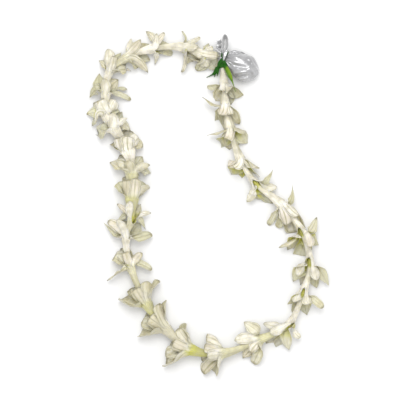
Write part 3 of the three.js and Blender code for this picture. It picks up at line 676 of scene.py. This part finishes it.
def floretSurface():
    # the faces that close a floret, as numbers of its corners, and the wall (0 outside, 1 inside), petal,
    # row and column of each corner; along the tube the petals' edges are joined
    last, end = petal["columns"] - 1, len(alongShares) - 1
    number, faces = {}, []

    def vertex(wall, k, r, c):
        if r < tube["rows"] and c == last:
            k, c = (k + 1) % petalCount, 0
        return number.setdefault((wall, k, r, c), len(number))

    def quad(*corners):
        faces.append([vertex(*corner) for corner in corners])

    for k in range(petalCount):
        for r in range(end):
            for c in range(last):
                quad((0, k, r, c), (0, k, r + 1, c), (0, k, r + 1, c + 1), (0, k, r, c + 1))
                quad((1, k, r, c), (1, k, r, c + 1), (1, k, r + 1, c + 1), (1, k, r + 1, c))
        for r in range(tube["rows"] - 1, end):
            quad((0, k, r, last), (0, k, r + 1, last), (1, k, r + 1, last), (1, k, r, last))
            quad((0, k, r, 0), (1, k, r, 0), (1, k, r + 1, 0), (0, k, r + 1, 0))
        for c in range(last):
            quad((0, k, end, c), (1, k, end, c), (1, k, end, c + 1), (0, k, end, c + 1))
            quad((0, k, 0, c), (0, k, 0, c + 1), (1, k, 0, c + 1), (1, k, 0, c))
    return faces, list(number)


def makeFloret(index, material, faces, corners):
    trait = floretTraits.get(index + 1, {})
    mouth, mouthSize = station(index + 1, 1.0), trait.get("mouth", 1)
    slit = math.pi / 2 - openMouth["turn"] * trait["open"] if "open" in trait else None
    tips, roots = facedTips(mouth, floretPlan[index][1], slit)
    singles = [petalTrait(tip) for tip in tips]
    lines = [petalLine(mouth, *each, slit, mouthSize) for each in zip(tips, roots, singles)]
    floret = {
        "knots": tubeKnots(index), "mouth": mouth, "mouthSize": mouthSize, "slit": slit, "roots": roots,
        "singles": singles, "lines": lines, "wide": trait.get("wide", 1), "fans": "fan" in trait,
    }
    chance = np.random.default_rng(petal["firstSeed"] + index)
    own = chance.random(petalCount)
    points = np.zeros((2, petalCount, len(alongShares), petal["columns"], 3))
    for r, share in enumerate(tubeShares):
        points[:, :, r] = tubeRow(floret, share)
    for k in range(petalCount):
        points[:, k, tube["rows"]:] = petalSheet(floret, k, chance)
    low = np.array([lowest["outside"], lowest["inside"]]).reshape(2, 1, 1, 1)
    points[..., 2] = restOn(points[..., 2], low)
    greens = [trait.get("green", 0) + single.get("green", 0) for single in singles]
    # beige painted shade: the floret's share, or more on a petal that stands edge on
    beigeShades = [max(trait.get("beige", 0), petal["edgeOnShade"] if single.get("lie") == "edgeOn" else 0)
              for single in singles]
    numbers = {
        "alongPetal": [alongShares[r] for wall, k, r, c in corners],
        "acrossPetal": [abs(acrossShares[c]) for wall, k, r, c in corners],
        # the inner face takes the khaki painted shade, by each floret's inside share
        "innerFace": [wall * trait.get("inside", 1) for wall, k, r, c in corners],
        "ownShade": [own[k] for wall, k, r, c in corners],
        "greenReach": [greens[k] for wall, k, r, c in corners],
        "beigeShadeShare": [beigeShades[k] for wall, k, r, c in corners],
        "yellowTube": [trait.get("yellow", 0)] * len(corners),
        # the base shows green where it lies in the open mouth of the floret before
        "greenBase": [1 if "open" in floretTraits.get(index, {}) else 0] * len(corners),
    }
    name = "floret_%02d" % (index + 1)
    piece = meshPiece(name + "_petals", [points[corner] for corner in corners], faces, material, numbers)
    finishPiece(piece, "tuberose", name)


petalWax = makePetalMaterial()
floretFaces, floretCorners = floretSurface()
for index in range(len(floretPlan)):
    makeFloret(index, petalWax, floretFaces, floretCorners)
print("florets made:", len(floretPlan))

# thread: two plies wound round each other along the string's route, swept in a Geometry Nodes tree; in mm
thread = {"stepsPerSpan": 14, "ply": 0.27, "offset": 0.22, "pitch": 2.6, "stepLength": 0.36, "sides": 6}
# stamens: a ring of them a little way down each mouth; in mm
stamens = {"perFloret": 6, "ring": 3.55, "back": 3.0, "turnEach": 0.35, "filament": 0.16,
           "filamentLength": 3.6, "anther": 0.34, "antherLength": 1.5, "lengths": (0.8, 1.1), "seed": 11}
cottonFinish = {"dark": (0.60, 0.58, 0.48, 1), "light": (0.78, 0.76, 0.66, 1), "grain": 2600.0,
                "rough": (0.72, 0.92), "bump": 0.5}
pollenFinish = {"dark": (0.56, 0.44, 0.14, 1), "light": (0.74, 0.66, 0.34, 1), "grain": 1800.0,
                "rough": (0.6, 0.85), "bump": 0.6}


def newNodeTree(name, values):
    # a tree with one input for each value, after the geometry
    tree = bpy.data.node_groups.new(name, "GeometryNodeTree")
    tree.interface.new_socket("Geometry", in_out="OUTPUT", socket_type="NodeSocketGeometry")
    tree.interface.new_socket("Geometry", in_out="INPUT", socket_type="NodeSocketGeometry")
    for key, value in values.items():
        kind = {int: "NodeSocketInt", float: "NodeSocketFloat"}.get(type(value), "NodeSocketMaterial")
        tree.interface.new_socket(key, in_out="INPUT", socket_type=kind)
    return tree, tree.nodes.new("NodeGroupInput").outputs


def endTree(tree, geometry, material):
    realized = addNode(tree, "GeometryNodeRealizeInstances", {"Geometry": geometry}).outputs[0]
    coloured = addNode(tree, "GeometryNodeSetMaterial", {"Geometry": realized, "Material": material})
    tree.links.new(coloured.outputs[0], tree.nodes.new("NodeGroupOutput").inputs[0])
    return tree


def modelled(source, tree, values, name):
    # runs the tree on its source mesh and keeps the result as a plain mesh
    modifier = source.modifiers.new(tree.name, "NODES")
    modifier.node_group = tree
    for item in tree.interface.items_tree:
        if item.in_out == "INPUT" and item.name in values:
            modifier[item.identifier] = values[item.name]
    view = bpy.context.evaluated_depsgraph_get()
    mesh = bpy.data.meshes.new_from_object(source.evaluated_get(view), depsgraph=view)
    mesh.name = name
    source.modifiers.remove(modifier)
    source.data = mesh
    source.name = name
    mesh.polygons.foreach_set("use_smooth", [True] * len(mesh.polygons))
    return source


def vectorMaths(tree, operation, inputs):
    return addNode(tree, "ShaderNodeVectorMath", inputs, operation=operation).outputs[0]


def joined(tree, *geometries):
    together = tree.nodes.new("GeometryNodeJoinGeometry")
    for geometry in geometries:
        tree.links.new(geometry, together.inputs[0])
    return together.outputs[0]


def makePlyTree(values):
    tree, given = newNodeTree("twisted plies", values)
    line = addNode(tree, "GeometryNodeMeshToCurve", {"Mesh": given["Geometry"]}).outputs[0]
    line = addNode(tree, "GeometryNodeResampleCurve", {"Curve": line, "Length": given["Step Length"]},
                   mode="LENGTH").outputs[0]
    runs = addNode(tree, "GeometryNodeInputTangent").outputs[0]
    sideWay = addNode(tree, "GeometryNodeInputNormal").outputs[0]
    otherWay = vectorMaths(tree, "CROSS_PRODUCT", {0: runs, 1: sideWay})
    length = addNode(tree, "GeometryNodeSplineParameter").outputs["Length"]
    turn = maths(tree, "DIVIDE", times(tree, length, 2 * math.pi), given["Pitch"])
    circle = {"Resolution": given["Sides"], "Radius": given["Ply Radius"]}
    profile = addNode(tree, "GeometryNodeCurvePrimitiveCircle", circle).outputs["Curve"]
    plies = []
    for phase in (0, math.pi):
        angle = plus(tree, turn, phase)
        first = vectorMaths(tree, "SCALE", {0: sideWay, "Scale": maths(tree, "COSINE", angle)})
        second = vectorMaths(tree, "SCALE", {0: otherWay, "Scale": maths(tree, "SINE", angle)})
        both = vectorMaths(tree, "ADD", {0: first, 1: second})
        offset = vectorMaths(tree, "SCALE", {0: both, "Scale": given["Ply Offset"]})
        wound = addNode(tree, "GeometryNodeSetPosition", {"Geometry": line, "Offset": offset}).outputs[0]
        ply = addNode(tree, "GeometryNodeCurveToMesh", {"Curve": wound, "Profile Curve": profile})
        plies.append(ply.outputs[0])
    return endTree(tree, joined(tree, *plies), given["Material"])


def makeStamenTree(values):
    tree, given = newNodeTree("stamens", values)
    length = given["Filament Length"]
    rod = {"Vertices": 6, "Radius": given["Filament Radius"], "Depth": length}
    filament = addNode(tree, "GeometryNodeMeshCylinder", rod).outputs["Mesh"]
    raised = {"Geometry": filament, "Translation": vectorOf(tree, 0.0, 0.0, times(tree, length, 0.5))}
    filament = addNode(tree, "GeometryNodeTransform", raised).outputs[0]
    ball = {"Segments": 8, "Rings": 6, "Radius": 1.0}
    anther = addNode(tree, "GeometryNodeMeshUVSphere", ball).outputs["Mesh"]
    sizes = vectorOf(tree, given["Anther Radius"], given["Anther Radius"], given["Anther Length"])
    onTop = {"Geometry": anther, "Scale": sizes, "Translation": vectorOf(tree, 0.0, 0.0, length)}
    anther = addNode(tree, "GeometryNodeTransform", onTop).outputs[0]
    aim = addNode(tree, "GeometryNodeInputNamedAttribute", {"Name": "aim"}, data_type="FLOAT_VECTOR")
    turned = addNode(tree, "FunctionNodeAlignRotationToVector", {"Vector": aim.outputs[0]}, axis="Z")
    short, long = stamens["lengths"]
    longer = addNode(tree, "FunctionNodeRandomValue", {2: short, 3: long, "Seed": given["Seed"]},
                     data_type="FLOAT").outputs[1]
    placed = addNode(tree, "GeometryNodeInstanceOnPoints", {
        "Points": given["Geometry"], "Instance": joined(tree, filament, anther),
        "Rotation": turned.outputs[0], "Scale": vectorOf(tree, 1.0, 1.0, longer)}).outputs[0]
    return endTree(tree, placed, given["Material"])


def makeGrainMaterial(name, look):
    material, tree, shader, where = newMaterial(name)
    grain = noiseOf(tree, where, look["grain"], 3.0)
    colour = mixColours(tree, ramp(tree, grain, 0.35, 0.65), look["dark"], look["light"])
    dress(tree, shader, colour, ramp(tree, grain, 0.3, 0.7, *look["rough"]), grain, look["bump"], 0.2 * mm)
    return material


def looseMesh(name, spots, edges):
    mesh = bpy.data.meshes.new(name)
    mesh.from_pydata([tuple(spot) for spot in spots], edges, [])
    return addObject(name, mesh)


stepCount = spanCount * thread["stepsPerSpan"]
route = [routePoint(i / stepCount) for i in range(stepCount)]
threadSource = looseMesh("string route", route, [(i, (i + 1) % stepCount) for i in range(stepCount)])
plyValues = {
    "Ply Radius": mm * thread["ply"], "Ply Offset": mm * thread["offset"], "Pitch": mm * thread["pitch"],
    "Step Length": mm * thread["stepLength"], "Sides": thread["sides"],
    "Material": makeGrainMaterial("cotton thread", cottonFinish),
}
threadPiece = modelled(threadSource, makePlyTree(plyValues), plyValues, "thread_twisted")
finishPiece(threadPiece, "thread", "thread")
print("thread wound:", len(threadPiece.data.vertices))

seats, aims = [], []
for index in range(len(floretPlan)):
    span = index + 1
    at = station(span, 1 - mm * stamens["back"] / spanLength(span))
    for j in range(stamens["perFloret"]):
        angle = 2 * math.pi * (j + stamens["turnEach"] * (index % 3)) / stamens["perFloret"]
        seats.append(onRing(at, stamens["ring"], angle))
        aims.append(at["along"])
stamenSource = looseMesh("stamen seats", seats, [])
aimLayer = stamenSource.data.attributes.new("aim", "FLOAT_VECTOR", "POINT")
aimLayer.data.foreach_set("vector", np.array(aims, dtype=np.float32).ravel())
stamenValues = {
    "Filament Radius": mm * stamens["filament"], "Filament Length": mm * stamens["filamentLength"],
    "Anther Radius": mm * stamens["anther"], "Anther Length": mm * stamens["antherLength"],
    "Seed": stamens["seed"], "Material": makeGrainMaterial("pollen yellow", pollenFinish),
}
stamenPiece = modelled(stamenSource, makeStamenTree(stamenValues), stamenValues, "floret_stamens")
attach(stamenPiece, "root")
print("stamens placed:", len(seats))

# satin ribbon bow, in mm. Rows of the wide loop: how far out from the knot, height, half widths to the left
# and right, how far the edges draw back and how far they drop. Rows of a strip: its place in the plan and
# its half width. A strip lies flat unless it has a lean, which turns it about its own line
bow = {
    "from": (223, 58, 0), "towards": (254, 72, 0), "thickness": 0.45, "across": 61, "steps": 150,
    "rows": [(1, 10, 2.5, 1.5, 0, 0), (4, 14, 9, 3, 0, 2), (9, 17.5, 14, 7, 0, 5.5),
             (16, 20.5, 16, 12, 0, 9), (27, 21.5, 16, 16, 2, 10), (38, 18.5, 15.5, 15.5, 6, 8),
             (46, 10, 14, 14, 10, 1.5), (43, 3, 13, 13, 8, 0.4), (36, 0.8, 13, 13, 3, 0),
             (29, 0.5, 13, 13, 0, 0), (22, 0.5, 13, 12, 0, 0), (15, 0.5, 11, 9, 0, 0),
             (8, 4, 6, 4, 0, 0), (1, 6.8, 2.5, 1.5, 0, 0)],
    "topShare": 0.43, "topFade": 1.2, "gatherCount": 2.5, "gatherPhase": 0.6, "gatherDepth": 0.8,
    "gatherFrom": 4, "gatherReach": 15.0, "crumple": 2.4, "crumpleFrom": (27, 40), "leastCrumple": 0.1,
    "crumpleScales": (120, 300), "fineShare": 0.35, "foldStart": 0.08, "foldRun": 0.84, "foldFade": 0.6,
    # folds over the top: from, to, how wide (mm), how high (mm)
    "folds": [((230, 53), (250, 54), 1.5, -3.2), ((230, 65), (246, 68), 2.6, -3.0),
              ((231, 74), (246, 72), 2.0, 2.6), ((234, 78), (250, 75), 1.8, -2.6),
              ((238, 80), (252, 79), 2.2, 1.8), ((247, 58), (253, 61), 2.8, 2.4),
              ((252, 60), (259, 70), 1.2, -2.2), ((236, 50), (251, 56), 0.8, -3.5),
              ((249, 69), (256, 77), 1.4, 2.2), ((254, 64), (259, 73), 1.0, 1.8)],
    # the narrow loop and the tail get a painted light tone
    "narrow": {"lean": 0.4, "steps": 70, "across": 15, "ripple": 0.5, "pale": 0.55,
               "rows": [(222.8, 58, 10.2, 1.2), (223.1, 53, 11, 2.6), (223.0, 46, 12, 3.6),
                        (223.5, 39, 12.5, 4.0), (225, 35.8, 12.5, 3.8), (226.7, 39, 12.5, 4.0),
                        (226.8, 47, 12, 3.6), (225.4, 53.5, 11, 2.4), (223.7, 57.6, 10, 1.2)]},
    "tail": {"lean": 0.8, "steps": 60, "across": 13, "ripple": 0.9, "pale": 0.45,
             "rows": [(222, 57.5, 11.2, 1), (221.8, 53.5, 12, 2.6), (220.4, 50.6, 11.5, 3.4),
                      (217.4, 48.2, 11, 3.6), (220, 45.6, 11, 3.4), (217.6, 43, 11, 3.2),
                      (221.4, 40.8, 11, 2.8)]},
    "band": {"lean": 1.45, "steps": 24, "across": 9, "ripple": 0.3, "pale": 0,
             "rows": [(226.6, 50.5, 15, 0.9), (225.6, 53.5, 16, 1.5), (224.4, 57, 16, 1.5),
                      (223.2, 60.5, 14.5, 1.1)]},
    "knot": {"radius": 4.0, "end": 3.0, "length": 6.4, "sides": 48, "steps": 24, "pleat": 0.28, "seed": 5},
}
# ripples to the metre in every strip, and how a knot is pleated
rippleBeats = 300
knotShape = {"pleats": 18, "wander": 1.5, "uneven": 0.3, "roundness": 0.5}


def smoothRows(rows, count):
    # a smooth line through rows of numbers
    rows = np.array(rows, dtype=float)
    padded = np.vstack([2 * rows[0] - rows[1], rows, 2 * rows[-1] - rows[-2]])
    result = []
    for t in np.linspace(0, len(rows) - 1, count):
        i = min(int(t), len(rows) - 2)
        w = t - i
        a, b, c, d = padded[i:i + 4]
        result.append(b + 0.5 * w * (c - a + w * (2 * a - 5 * b + 4 * c - d + w * (3 * (b - c) + d - a))))
    return np.array(result)


def foldHeight(spot, folds):
    height = 0.0
    for start, end, width, rise in folds:
        a, b = place((*start, 0))[:2], place((*end, 0))[:2]
        run = b - a
        share = float(np.clip((spot[:2] - a) @ run / (run @ run), 0, 1))
        away = 1000 * np.linalg.norm(spot[:2] - a - share * run)
        fade = math.sin(math.pi * (bow["foldStart"] + bow["foldRun"] * share)) ** bow["foldFade"]
        height += rise * fade * math.exp(-(away / width) ** 2)
    return height


def wideLoopSheet():
    # out from the knot over the top, and back under itself; only the top is gathered, crumpled and folded
    start = place(bow["from"])
    aim = unit(place(bow["towards"]) - start)
    left = np.array([-aim[1], aim[0], 0])
    topRows = len(bow["rows"]) * bow["topShare"]
    sheet = []
    rows = smoothRows(bow["rows"], bow["steps"])
    for i, (out, height, halfLeft, halfRight, back, drop) in enumerate(rows):
        rowNumber = i / (bow["steps"] - 1) * (len(bow["rows"]) - 1)
        above = 1 - smoothStep(rowNumber, topRows, topRows + bow["topFade"])
        crumpled = bow["leastCrumple"] + (1 - bow["leastCrumple"]) * smoothStep(out, *bow["crumpleFrom"])
        line = []
        for v in np.linspace(-1, 1, bow["across"]):
            p = start + mm * (aim * (out - back * v * v) + left * v * (halfRight if v < 0 else halfLeft))
            gather = math.sin(2 * math.pi * bow["gatherCount"] * v + bow["gatherPhase"])
            gather *= math.exp(-(out / bow["gatherReach"]) ** 2)
            rise = bow["gatherDepth"] * gather * min(out / bow["gatherFrom"], 1)
            coarse, fine = (noise.noise(Vector(p * scale)) for scale in bow["crumpleScales"])
            rough = bow["crumple"] * (coarse + bow["fineShare"] * fine) * crumpled
            p[2] = mm * (height - drop * v * v + rise * above + rough * above)
            p[2] += mm * above * foldHeight(p, bow["folds"])
            p[2] = restOn(p[2], lowest["sheet"])
            line.append(p)
        sheet.append(line)
    return sheet


def stripSheet(strip):
    rows = smoothRows(strip["rows"], strip["steps"])
    middle = np.array([place(row[:3]) for row in rows])
    lean = strip.get("lean", math.pi / 2)
    sheet = []
    for i, half in enumerate(rows[:, 3]):
        run = middle[min(i + 1, len(rows) - 1)] - middle[max(i - 1, 0)]
        left = unit(np.array([-run[1], run[0], 0]))
        acrossWay = left * math.sin(lean) + np.array([0, 0, math.cos(lean)])
        facing = unit(np.cross(acrossWay, run))
        line = []
        for v in np.linspace(-1, 1, strip["across"]):
            p = middle[i] + mm * half * v * acrossWay
            p = p + mm * facing * strip["ripple"] * noise.noise(Vector(p * rippleBeats))
            p[2] = restOn(p[2], lowest["sheet"])
            line.append(p)
        sheet.append(line)
    return sheet


def knotSheet(at, knot):
    # a wrapped band round the thread, pleated along its length
    phases = np.random.default_rng(knot["seed"]).uniform(0, 2 * math.pi, 3)
    sheet = []
    for share in np.linspace(-0.5, 0.5, knot["steps"]):
        line = []
        for angle in np.linspace(0, 2 * math.pi, knot["sides"], endpoint=False):
            bulge = math.cos(math.pi * share) ** knotShape["roundness"]
            wander = knotShape["wander"] * math.sin(angle + phases[0])
            pleats = math.sin(knotShape["pleats"] * share + wander + phases[1])
            radius = knot["end"] + (knot["radius"] - knot["end"]) * bulge
            radius += knot["pleat"] * pleats + knotShape["uneven"] * math.sin(2 * angle + phases[2])
            line.append(onRing(at, radius, angle) + mm * at["along"] * share * knot["length"])
        sheet.append(line)
    return sheet


def addSheet(surface, sheet, thickness, wrap=False, **shares):
    # gives a sheet its thickness and adds it to a surface; wrap joins its last column to its first
    grid = np.array(sheet)
    rows, columns = grid.shape[:2]
    if wrap:
        across = np.roll(grid, -1, axis=1) - np.roll(grid, 1, axis=1)
    else:
        across = np.gradient(grid, axis=1)
    facing = np.cross(across, np.gradient(grid, axis=0))
    facing /= np.maximum(np.linalg.norm(facing, axis=2, keepdims=True), 1e-12)
    points, faces, numbers = surface["points"], surface["faces"], surface["numbers"]
    first, last, end = len(points), rows - 1, columns - 1
    for half, low in ((0.5, lowest["sheet"]), (-0.5, lowest["outside"])):
        moved = grid + half * mm * thickness * facing
        moved[..., 2] = np.maximum(moved[..., 2], low)
        points.extend(moved.reshape(-1, 3))
        for r in range(rows):
            numbers["alongSheet"].extend([r / last] * columns)
            numbers["acrossSheet"].extend(np.linspace(0, 1, columns))
    for name, share in shares.items():
        numbers.setdefault(name, []).extend([share] * (2 * rows * columns))

    def quad(*corners):
        faces.append([first + (side * rows + r) * columns + c % columns for side, r, c in corners])

    for r in range(last):
        for c in range(columns if wrap else end):
            quad((0, r, c), (0, r, c + 1), (0, r + 1, c + 1), (0, r + 1, c))
            quad((1, r, c), (1, r + 1, c), (1, r + 1, c + 1), (1, r, c + 1))
        if not wrap:
            quad((0, r, 0), (0, r + 1, 0), (1, r + 1, 0), (1, r, 0))
            quad((0, r, end), (1, r, end), (1, r + 1, end), (0, r + 1, end))
    for c in range(columns if wrap else end):
        quad((0, 0, c), (1, 0, c), (1, 0, c + 1), (0, 0, c + 1))
        quad((0, last, c), (0, last, c + 1), (1, last, c + 1), (1, last, c))


# soft grey satin, with a fine weave and painted shade in cloudy patches and along the threads, bright where
# it turns to the light, and a painted light tone on the narrow loop and the tail
satinFinish = {
    "base": (0.53, 0.53, 0.535, 1), "shade": (0.27, 0.27, 0.275, 1), "pale": (0.80, 0.80, 0.80, 1),
    "rough": 0.2,
    "sheen": {"Metallic": 0.6, "Sheen Weight": 0.3, "Sheen Roughness": 0.35, "Anisotropic": 0.5},
}


def makeSatin():
    material, tree, shader, where = newMaterial("grey satin")
    along, across = attribute(tree, "alongSheet"), attribute(tree, "acrossSheet")
    threads = noiseOf(tree, vectorOf(tree, times(tree, across, 90.0), times(tree, along, 30.0), 0.0), 2.0)
    weave = addNode(tree, "ShaderNodeTexWave", {"Vector": where, "Scale": 700.0, "Distortion": 0.6},
                    bands_direction="DIAGONAL").outputs["Fac"]
    cloudy = noiseOf(tree, where, 55.0, 3.0)
    shade = plus(tree, ramp(tree, cloudy, 0.35, 0.65, 0.0, 0.5), ramp(tree, threads, 0.3, 0.7, 0.0, 0.3))
    colour = layered(tree, satinFinish["base"], (shade, satinFinish["shade"]),
                     (attribute(tree, "paleSheet"), satinFinish["pale"]))
    rough = ramp(tree, threads, 0.3, 0.7, satinFinish["rough"] - 0.05, satinFinish["rough"] + 0.07)
    height = plus(tree, times(tree, weave, 0.15), times(tree, threads, 0.5))
    dress(tree, shader, colour, rough, height, 0.25, 0.3 * mm)
    setValues(shader, satinFinish["sheen"])
    return material


def newSurface():
    return {"points": [], "faces": [], "numbers": {"alongSheet": [], "acrossSheet": []}}


def surfacePiece(name, surface, material):
    return meshPiece(name, surface["points"], surface["faces"], material, surface["numbers"])


bowSurface = newSurface()
addSheet(bowSurface, wideLoopSheet(), bow["thickness"], paleSheet=0)
for strip in (bow["narrow"], bow["tail"], bow["band"]):
    addSheet(bowSurface, stripSheet(strip), bow["thickness"], paleSheet=strip["pale"])
addSheet(bowSurface, knotSheet(station(0, 0), bow["knot"]), bow["thickness"], wrap=True, paleSheet=0)
bowPiece = surfacePiece("bow_satin", bowSurface, makeSatin())
finishPiece(bowPiece, "ribbon", "ribbon_bow")
print("bow made")

# leaf strip: wrapped round the thread and knotted, with a long split tail, a ragged end and two short tips
leafTie = {
    "thickness": 0.55, "ripple": 0.4,
    "knot": {"radius": 4.1, "end": 2.6, "length": 6.0, "sides": 48, "steps": 20, "pleat": 0.35, "seed": 8},
    "strips": {
        "tail": {"steps": 60, "across": 11,
                 "rows": [(222.4, 62.4, 10, 1.2), (225.4, 67, 14.5, 2.2), (228.0, 72, 17, 2.7),
                          (230.2, 77, 17.5, 2.4), (231.9, 81, 17.5, 1.2), (233.4, 85.5, 17, 0.5),
                          (235.4, 92, 16, 0.25)]},
        "stub": {"steps": 40, "across": 11,
                 "rows": [(219.9, 65.6, 9, 1.2), (217.4, 68.4, 7.5, 2.6), (215.2, 72, 5, 2.3),
                          (211.6, 74.6, 2.2, 0.8), (206.4, 77, 0.6, 0.3)]},
        "tooth": {"steps": 24, "across": 7,
                  "rows": [(218.6, 67.5, 8.5, 1.4), (217.8, 71.5, 6.5, 1.3), (217.4, 76, 4, 0.25)]},
        "barb": {"steps": 20, "across": 7,
                 "rows": [(216.4, 70, 7, 1.2), (215.2, 73.5, 5, 1.0), (214.4, 76.8, 3, 0.2)]},
        "collar": {"lean": 1.2, "steps": 40, "across": 11,
                   "rows": [(218.4, 67, 10, 1.6), (219.6, 62.8, 13.2, 2.0), (222.4, 60.6, 14.2, 2.2),
                            (225, 63.5, 13, 1.9), (226, 67.2, 10.5, 1.4)]},
        "upperTip": {"lean": 0.9, "steps": 20, "across": 7,
                     "rows": [(222.4, 60, 12.5, 0.9), (221.8, 56, 13.5, 0.8), (222.2, 52, 13, 0.2)]},
        "sideTip": {"lean": 0.7, "steps": 20, "across": 7,
                    "rows": [(223.6, 60, 12.5, 0.9), (226, 56, 14.5, 0.8), (229, 51.5, 15.5, 0.2)]},
    },
}
leafFinish = {
    "dark": (0.010, 0.085, 0.001, 1), "lime": (0.14, 0.24, 0.002, 1), "vein": (0.20, 0.29, 0.01, 1),
    "limeFrom": (0.005, 0.010), "wax": {"Specular IOR Level": 0.25},
}


def makeLeafMaterial():
    material, tree, shader, where = newMaterial("green leaf")
    look = leafFinish
    along, across = attribute(tree, "alongSheet"), attribute(tree, "acrossSheet")
    lines = noiseOf(tree, vectorOf(tree, times(tree, across, 14.0), times(tree, along, 1.5), 0.0), 1.3)
    patch = noiseOf(tree, where, 120.0, 3.0)
    # lime on the long tail, which leaves the knot to the right and downwards
    apart = addNode(tree, "ShaderNodeSeparateXYZ", {0: where}).outputs
    right, up = place(leafKnotSpot)[:2]
    fromKnot = maths(tree, "SUBTRACT", maths(tree, "SUBTRACT", apart["X"], apart["Y"]), float(right - up))
    onTail = times(tree, ramp(tree, fromKnot, *look["limeFrom"]), ramp(tree, across, 0.3, 0.6, 0.45, 1.0))
    veins = times(tree, ramp(tree, lines, 0.5, 0.7, 0.0, 0.45), onTail)
    colour = layered(tree, look["dark"], (onTail, look["lime"]), (veins, look["vein"]),
                     (ramp(tree, patch, 0.5, 0.72, 0.0, 0.6), look["dark"]))
    dress(tree, shader, colour, ramp(tree, patch, 0.3, 0.7, 0.42, 0.58), lines, 0.6, 0.5 * mm)
    setValues(shader, look["wax"])
    return material


leafSurface = newSurface()
for strip in leafTie["strips"].values():
    addSheet(leafSurface, stripSheet({**strip, "ripple": leafTie["ripple"]}), leafTie["thickness"])
addSheet(leafSurface, knotSheet(station(1, 0), leafTie["knot"]), leafTie["thickness"], wrap=True)
finishPiece(surfacePiece("tie_leaf", leafSurface, makeLeafMaterial()), "leaf", "leaf_tie")
print("leaf tie made")

# floor and lights; each lamp has its shape, size, power and place, and faces the middle of the lei
studio = {
    "floorSize": 6.0, "floorTone": 0.78, "toneDrift": 0.004, "floorDrop": 0.0002, "worldStrength": 0.90,
    "floorFinish": {"Roughness": 0.9, "Specular IOR Level": 0.1},
    "lamps": {"overhead panel": ("SQUARE", 2.0, 18.0, (0, 0, 2.6)),
              "key": ("DISK", 1.1, 16.0, (-0.05, 0.9, 1.7))},
}


def makeFloorMaterial():
    material, tree, shader, where = newMaterial("pale board")
    tone, drift = studio["floorTone"], studio["toneDrift"]
    paleTone = ramp(tree, noiseOf(tree, where, 60.0), 0.3, 0.7, tone - drift, tone + drift)
    tree.links.new(greyOf(tree, paleTone), shader.inputs["Base Color"])
    setValues(shader, studio["floorFinish"])
    return material


half = studio["floorSize"] / 2
floorCorners = [(x * half, y * half, -studio["floorDrop"]) for x, y in ((-1, -1), (1, -1), (1, 1), (-1, 1))]
floor = meshPiece("floor", floorCorners, [(0, 1, 2, 3)], makeFloorMaterial(), {})
world = bpy.data.worlds.new("studio")
scene.world = world
world.use_nodes = True
setValues(world.node_tree.nodes["Background"], {"Color": (1, 1, 1, 1), "Strength": studio["worldStrength"]})
for name, (shape, size, power, spot) in studio["lamps"].items():
    lampData = bpy.data.lights.new(name, "AREA")
    lampData.shape = shape
    lampData.size = size
    lampData.energy = power
    lamp = addObject(name, lampData)
    lamp.location = spot
    lamp.rotation_euler = (-Vector(spot)).to_track_quat("-Z", "Y").to_euler()

print("scene finished")
